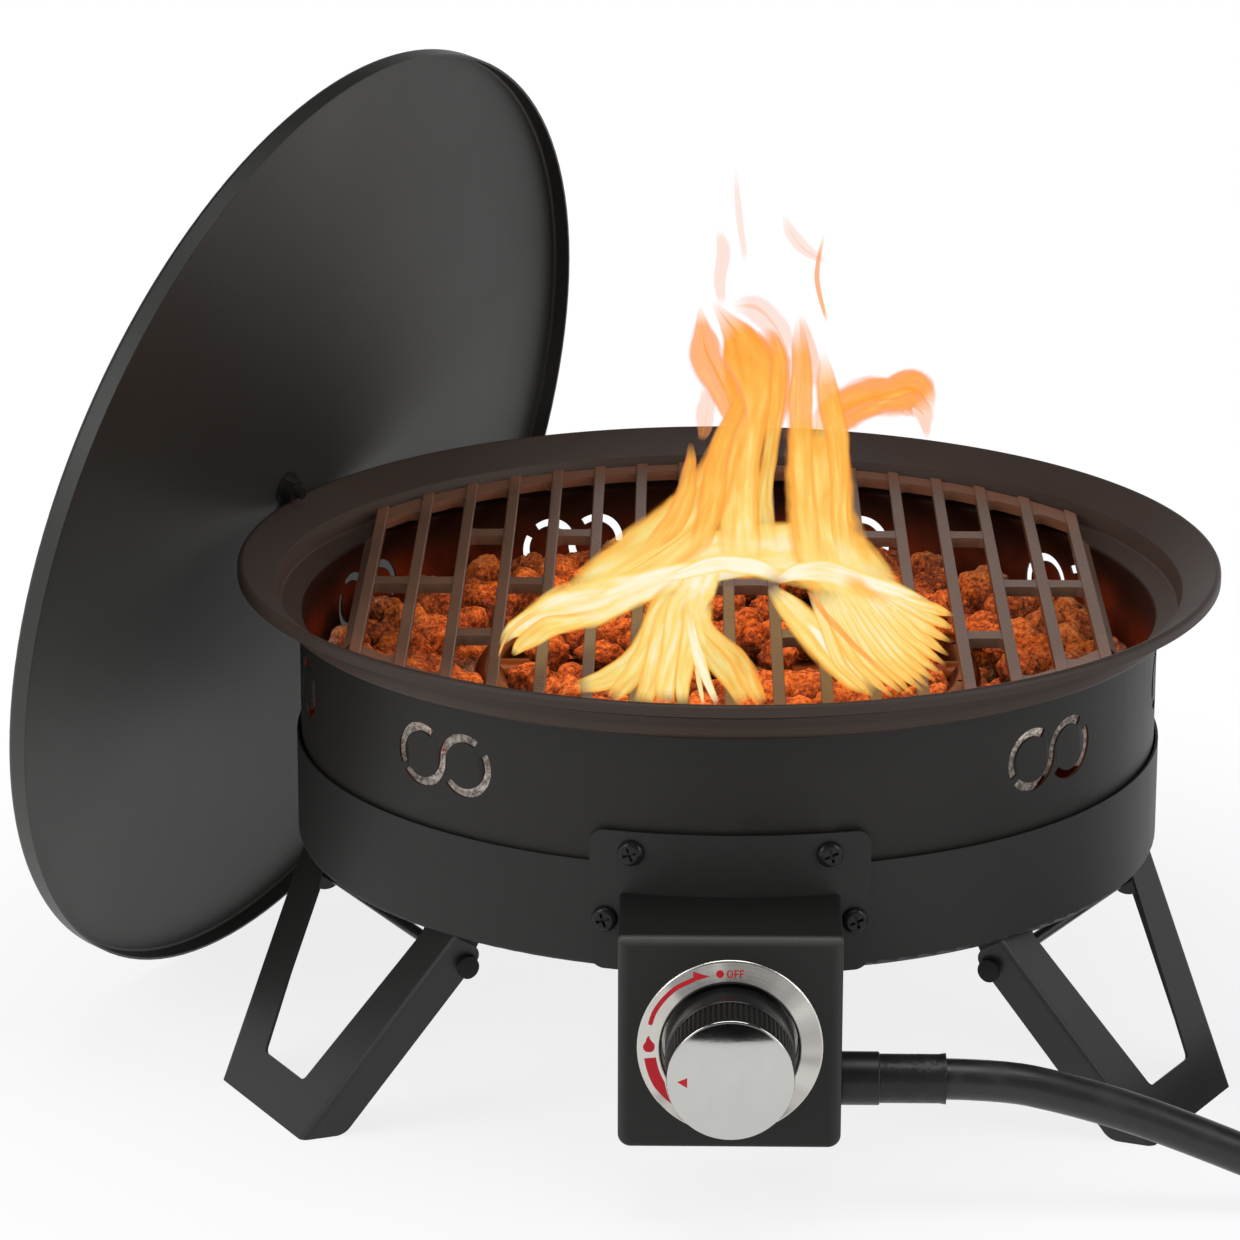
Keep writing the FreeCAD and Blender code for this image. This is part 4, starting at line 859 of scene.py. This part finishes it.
# Each tongue: depth, heat at foot and tip from orange to nearly white, body from thin to solid,
# then points across and up with half a width. Lengths are in millimetres.
upright = [
    (-20, 0.80, 0.50, 0.95, [(-80, 217, 7.0), (-60, 230, 12.0), (-40, 243, 14.5),
        (-20, 258, 14.5), (-9, 275, 11.0), (-4, 291, 8.0), (2, 306, 6.5), (5, 321, 4.0)]),
    (-24, 0.60, 0.34, 0.85, [(-39, 244, 4.0), (-27, 259, 5.5), (-21, 276, 4.5), (-19, 289, 3.0),
        (-19, 300, 1.0)]),
    (-28, 0.58, 0.34, 0.90, [(-15, 244, 4.5), (-9, 264, 6.5), (-7, 283, 6.0), (-3, 300, 5.0),
        (3, 316, 4.0), (6, 327, 2.0)]),
    (-12, 0.78, 0.24, 1.00, [(7, 237, 9.0), (6, 257, 10.0), (6, 276, 8.5), (8, 293, 7.5),
        (10, 310, 8.5), (11, 325, 12.5), (10, 339, 13.5), (5, 352, 9.0), (-2, 362, 4.0),
        (-9, 371, 1.0)]),
    (-16, 0.34, 0.22, 0.85, [(6, 305, 5.0), (0, 321, 7.0), (-6, 334, 8.0), (-12, 347, 7.5),
        (-14, 359, 3.5), (-15, 369, 0.5)]),
    (-8, 0.26, 0.16, 0.85, [(15, 303, 7.0), (18, 320, 11.0), (19, 336, 12.0), (17, 349, 9.0),
        (13, 357, 3.5)]),
    (-32, 0.74, 0.30, 0.90, [(20, 244, 4.5), (18, 264, 4.0), (18, 278, 3.5), (20, 293, 3.5),
        (22, 309, 3.5), (24, 324, 4.0), (24, 339, 4.5), (22, 351, 2.5), (20, 359, 0.5)]),
    (-6, 0.80, 0.44, 1.00, [(60, 224, 15.0), (51, 239, 18.0), (47, 256, 16.5), (45, 271, 15.5),
        (44, 288, 14.5), (43, 304, 14.0), (43, 315, 10.0)]),
    (-36, 0.72, 0.24, 0.90, [(41, 240, 5.0), (38, 261, 5.5), (36, 281, 5.5), (35, 302, 5.5),
        (34, 321, 6.0), (35, 336, 5.0), (34, 350, 4.0), (33, 364, 1.0)]),
    (-40, 0.66, 0.36, 0.90, [(58, 240, 4.5), (54, 261, 4.5), (54, 281, 4.5), (53, 300, 5.5),
        (50, 317, 6.0), (48, 332, 4.5), (45, 347, 1.0)]),
    (-10, 0.32, 0.24, 0.95, [(45, 306, 7.0), (55, 317, 10.5), (68, 323, 9.5), (79, 324, 9.5),
        (89, 327, 11.0), (95, 323, 6.5), (99, 316, 1.0)]),
    (-14, 0.52, 0.46, 0.75, [(72, 320, 1.2), (80, 324, 2.5), (90, 327, 1.0)]),
    (-18, 0.20, 0.12, 0.50, [(87, 321, 6.0), (94, 316, 4.5), (96, 309, 2.5), (97, 302, 0.5)]),
    (-4, 0.16, 0.12, 0.40, [(-14, 301, 1.5), (-12, 310, 4.0), (-11, 321, 4.0), (-13, 329, 1.0)]),
    (-5, 0.12, 0.05, 0.30, [(7, 391, 1.0), (5, 406, 1.5), (3, 420, 1.5), (2, 437, 0.5)]),
    (-3, 0.14, 0.06, 0.35, [(-4, 369, 1.5), (-5, 384, 3.0), (-4, 398, 3.0), (-6, 407, 1.0)]),
    (-2, 0.12, 0.06, 0.30, [(46, 391, 1.0), (36, 397, 3.0), (30, 404, 3.0), (25, 415, 1.0)]),
    (-1, 0.30, 0.16, 0.80, [(47, 361, 0.6), (43, 376, 1.1), (42, 389, 1.1), (45, 405, 0.5)]),
    (-9, 0.14, 0.10, 0.35, [(29, 344, 2.5), (23, 357, 5.5), (13, 368, 6.0), (1, 369, 2.5)]),
    (-7, 0.22, 0.12, 0.50, [(40, 327, 3.0), (40, 339, 4.5), (37, 353, 3.0), (34, 365, 1.0)])]
low = [
    (-2, 0.84, 0.78, 1.00, [(-69, 220, 6.0), (-44, 232, 10.5), (-14, 242, 11.5), (8, 245, 12.5),
        (30, 244, 14.5), (55, 240, 16.0), (74, 228, 10.5), (84, 218, 4.0)]),
    (-44, 0.80, 1.00, 1.00, [(-113, 195, 1.0), (-107, 203, 4.0), (-95, 209, 7.5),
        (-82, 214, 10.5), (-67, 218, 11.5), (-52, 224, 9.5), (-34, 229, 7.5), (-13, 234, 6.0),
        (6, 236, 4.5), (20, 237, 2.0)]),
    (-46, 0.66, 0.74, 0.95, [(-107, 190, 1.0), (-101, 196, 4.0), (-91, 203, 5.5), (-78, 207, 4.5),
        (-61, 212, 3.0)]),
    (-48, 0.55, 0.60, 0.80, [(-114, 189, 0.4), (-110, 199, 0.8), (-103, 207, 1.2),
        (-91, 215, 1.0)]),
    (-49, 0.84, 0.95, 1.00, [(-20, 207, 6.0), (-18, 218, 8.0), (-15, 227, 9.0), (-11, 236, 7.0),
        (-8, 240, 4.0)]),
    (-50, 1.00, 1.00, 1.00, [(-32, 230, 1.5), (-18, 234, 3.5), (-2, 238, 4.5), (14, 236, 4.5),
        (28, 230, 2.5)]),
    (-51, 1.00, 0.90, 1.00, [(24, 229, 1.5), (35, 234, 4.5), (51, 234, 5.5), (71, 226, 6.0),
        (89, 220, 5.0), (107, 214, 1.5)]),
    (-52, 0.70, 0.80, 0.95, [(-76, 173, 3.0), (-60, 178, 5.5), (-46, 188, 6.5), (-36, 202, 7.5),
        (-29, 216, 9.0), (-19, 226, 8.0)]),
    (-53, 0.66, 0.80, 0.90, [(-58, 167, 3.5), (-48, 178, 5.0), (-40, 193, 5.5), (-33, 209, 6.5),
        (-26, 222, 6.0)]),
    (-54, 0.70, 0.82, 0.95, [(-43, 165, 4.5), (-38, 178, 5.0), (-34, 195, 6.0), (-28, 211, 7.0),
        (-21, 224, 6.0)]),
    (-55, 0.74, 0.84, 1.00, [(-31, 165, 4.5), (-30, 181, 5.0), (-27, 197, 6.0), (-23, 214, 7.5),
        (-18, 226, 6.0)]),
    (-56, 0.72, 0.78, 1.00, [(-22, 165, 2.5), (-22, 178, 4.0), (-19, 193, 5.0), (-15, 209, 7.5),
        (-13, 222, 6.5)]),
    (-57, 0.66, 0.74, 0.90, [(8, 165, 3.0), (2, 178, 5.5), (-6, 190, 6.0), (-13, 204, 5.5),
        (-16, 217, 4.0)]),
    (-58, 0.56, 0.70, 0.90, [(18, 165, 2.5), (11, 177, 5.0), (5, 189, 4.5), (-4, 198, 3.5),
        (-13, 208, 3.0)]),
    (-59, 0.95, 0.95, 1.00, [(-5, 165, 1.2), (-10, 177, 2.2), (-14, 188, 3.0), (-17, 200, 2.5),
        (-19, 213, 1.5)]),
    (-60, 0.86, 0.86, 0.90, [(-12, 165, 0.7), (-14, 177, 1.3), (-16, 186, 0.7)]),
    (-62, 0.80, 0.66, 1.00, [(21, 226, 2.5), (34, 211, 7.0), (49, 196, 8.5), (63, 181, 7.5),
        (74, 172, 3.5)]),
    (-63, 0.98, 0.98, 1.00, [(39, 208, 0.8), (48, 198, 2.5), (58, 186, 3.0), (68, 175, 1.0)]),
    (-61, 0.74, 0.66, 1.00, [(49, 227, 10.0), (62, 213, 15.5), (77, 200, 18.5), (88, 190, 15.5),
        (98, 181, 4.0)]),
    (-78, 0.28, 0.30, 0.80, [(39, 225, 0.8), (51, 209, 1.5), (65, 194, 1.3), (82, 180, 0.6)])]

FAN = 13
for i in range(FAN):  # streaks that fan out from the end of the ring, to whole millimetres
    share = i / (FAN - 1)
    swing = share * math.pi / 2
    foot = Vector((41.4 + 43.7 * share, 224.7 - 3.9 * share))
    tip = Vector((
        72.65 + 39.6 * math.sin(swing) ** 0.67, 169.1 + 42.9 * (1 - math.cos(swing)) ** 1.35))
    bend = (foot + tip) / 2 - Vector((3.9, 3.5)) * (1 - share)
    over = (bend + tip) / 2 - Vector((1.1, 1.0)) * (1 - share)
    guide = [
        (round(point.x), round(point.y), half_width)
        for point, half_width in ((foot, 2.0), (bend, 3.0), (over, 2.5), (tip, 0.5))]
    low.append((-64 - i, 0.86, 0.52, 0.95, guide))


def seen_from_front(x, z, depth):
    """Where the sight line through (x, 0, z) meets the tongue's depth, or the air over the bars."""
    sight = Vector((x, 0, z)) / 1000 - LENS
    at = LENS + sight * ((depth / 1000 - LENS.y) / sight.y)
    over_bars = OVER_BARS - depth * LIFT
    if at.z < over_bars:
        at = LENS + sight * ((over_bars - LENS.z) / sight.z)
    return at


ACROSS = 8
flame_verts, flame_faces, flame_across, flame_heat, flame_body, flame_along = [], [], [], [], [], []


def add_tongue(number, tongue, crossed=False):
    """Adds a sheet drawn from the front, or its twin across it, for the view from a side."""
    depth, foot_heat, tip_heat, body, guide = tongue
    middle = smooth_line(guide, 6)
    for i, point in enumerate(middle):
        share = i / (len(middle) - 1)
        run = middle[min(i + 1, len(middle) - 1)] - middle[max(i - 1, 0)]
        side = Vector((-run.y, run.x)).normalized()
        sway = noise.noise(Vector((number * 7.3, share * 3.0, 0))) * point.z * 0.25
        for column in range(ACROSS + 1):
            across = 2 * column / ACROSS - 1
            if crossed:
                spot = seen_from_front(point.x, point.y, depth)
                spot += Vector((0, across * point.z / 1000, 0))
            else:
                spot = Vector((point.x, point.y)) + side * (across * point.z * 1.2 + sway)
                spot = seen_from_front(spot.x, spot.y, depth)
            flame_verts.append(spot)
            flame_across.append(across)
            flame_heat.append(foot_heat + (tip_heat - foot_heat) * share)
            flame_body.append(body * min(1, share * 9, (1 - share) * 5))  # thin at both ends
            flame_along.append(number * 3.1 + share * len(guide) * 0.5)
        if i:
            row = len(flame_verts) - (ACROSS + 1)
            for corner in range(row, row + ACROSS):
                flame_faces.append((corner - ACROSS - 1, corner - ACROSS, corner + 1, corner))


for number, tongue in enumerate(upright + low):
    add_tongue(number, tongue)
for number, tongue in enumerate(upright):
    add_tongue(number, tongue, crossed=True)

mesh = bpy.data.meshes.new("flames")
mesh.from_pydata(flame_verts, [], flame_faces)
mesh.polygons.foreach_set("use_smooth", [True] * len(mesh.polygons))
for name, values in (
        ("across", flame_across), ("hotness", flame_heat),
        ("body", flame_body), ("along", flame_along)):
    mesh.attributes.new(name, "FLOAT", "POINT").data.foreach_set("value", values)
flames = bpy.data.objects.new("flames", mesh)
bpy.context.scene.collection.objects.link(flames)
flames.visible_diffuse = False
flames.visible_shadow = False

fire = new_finish("burning_gas")
across, heat, body, along = (
    fire.node("Attribute", {"attribute_name": name}, out="Fac")
    for name in ("across", "hotness", "body", "along"))
on_tongue = fire.node("CombineXYZ", {}, {0: across * 1.5, 1: along * 0.8, 2: 0.0})
streaks = fire.node("TexNoise", {"noise_dimensions": "2D"}, {
    "Vector": on_tongue, "Scale": 1.6, "Detail": 2.0})
from_edge = 1 - across.math("ABSOLUTE", across)
glowing = heat + (streaks - 0.5) * 0.50 - (1 - fire.between(from_edge, 0.0, 0.55)) * 0.34
light = fire.node("ValToRGB", {"stops": [
    (0.0, (0.96, 0.38, 0.20)), (0.25, (1.0, 0.36, 0.05)), (0.5, (1.0, 0.50, 0.085)),
    (0.75, (0.99, 0.76, 0.23)), (1.0, (1.0, 0.95, 0.72))]}, {0: glowing})
thickness = fire.between(from_edge + (streaks - 0.5) * 0.35, 0.02, 0.28) * body
mesh.materials.append(fire.surface(
    (0.0, 0.0, 0.0), 1.0,
    Specular_IOR_Level=0.0, Alpha=thickness, Emission_Color=light, Emission_Strength=1.0))
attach(flames, "grate")

ORANGE = (1.0, 0.42, 0.12)
lamp("glow_on_rocks", "AREA", (0, 0, 0.216), (0, 0, 0), 0.30, ORANGE, shape="DISK", size=0.30)
high_glow = lamp(
    "glow_over_bars", "POINT", (0, -0.03, 0.34), (0, 0, 0), 0.25, ORANGE, shadow_soft_size=0.06)
high_glow.visible_glossy = False
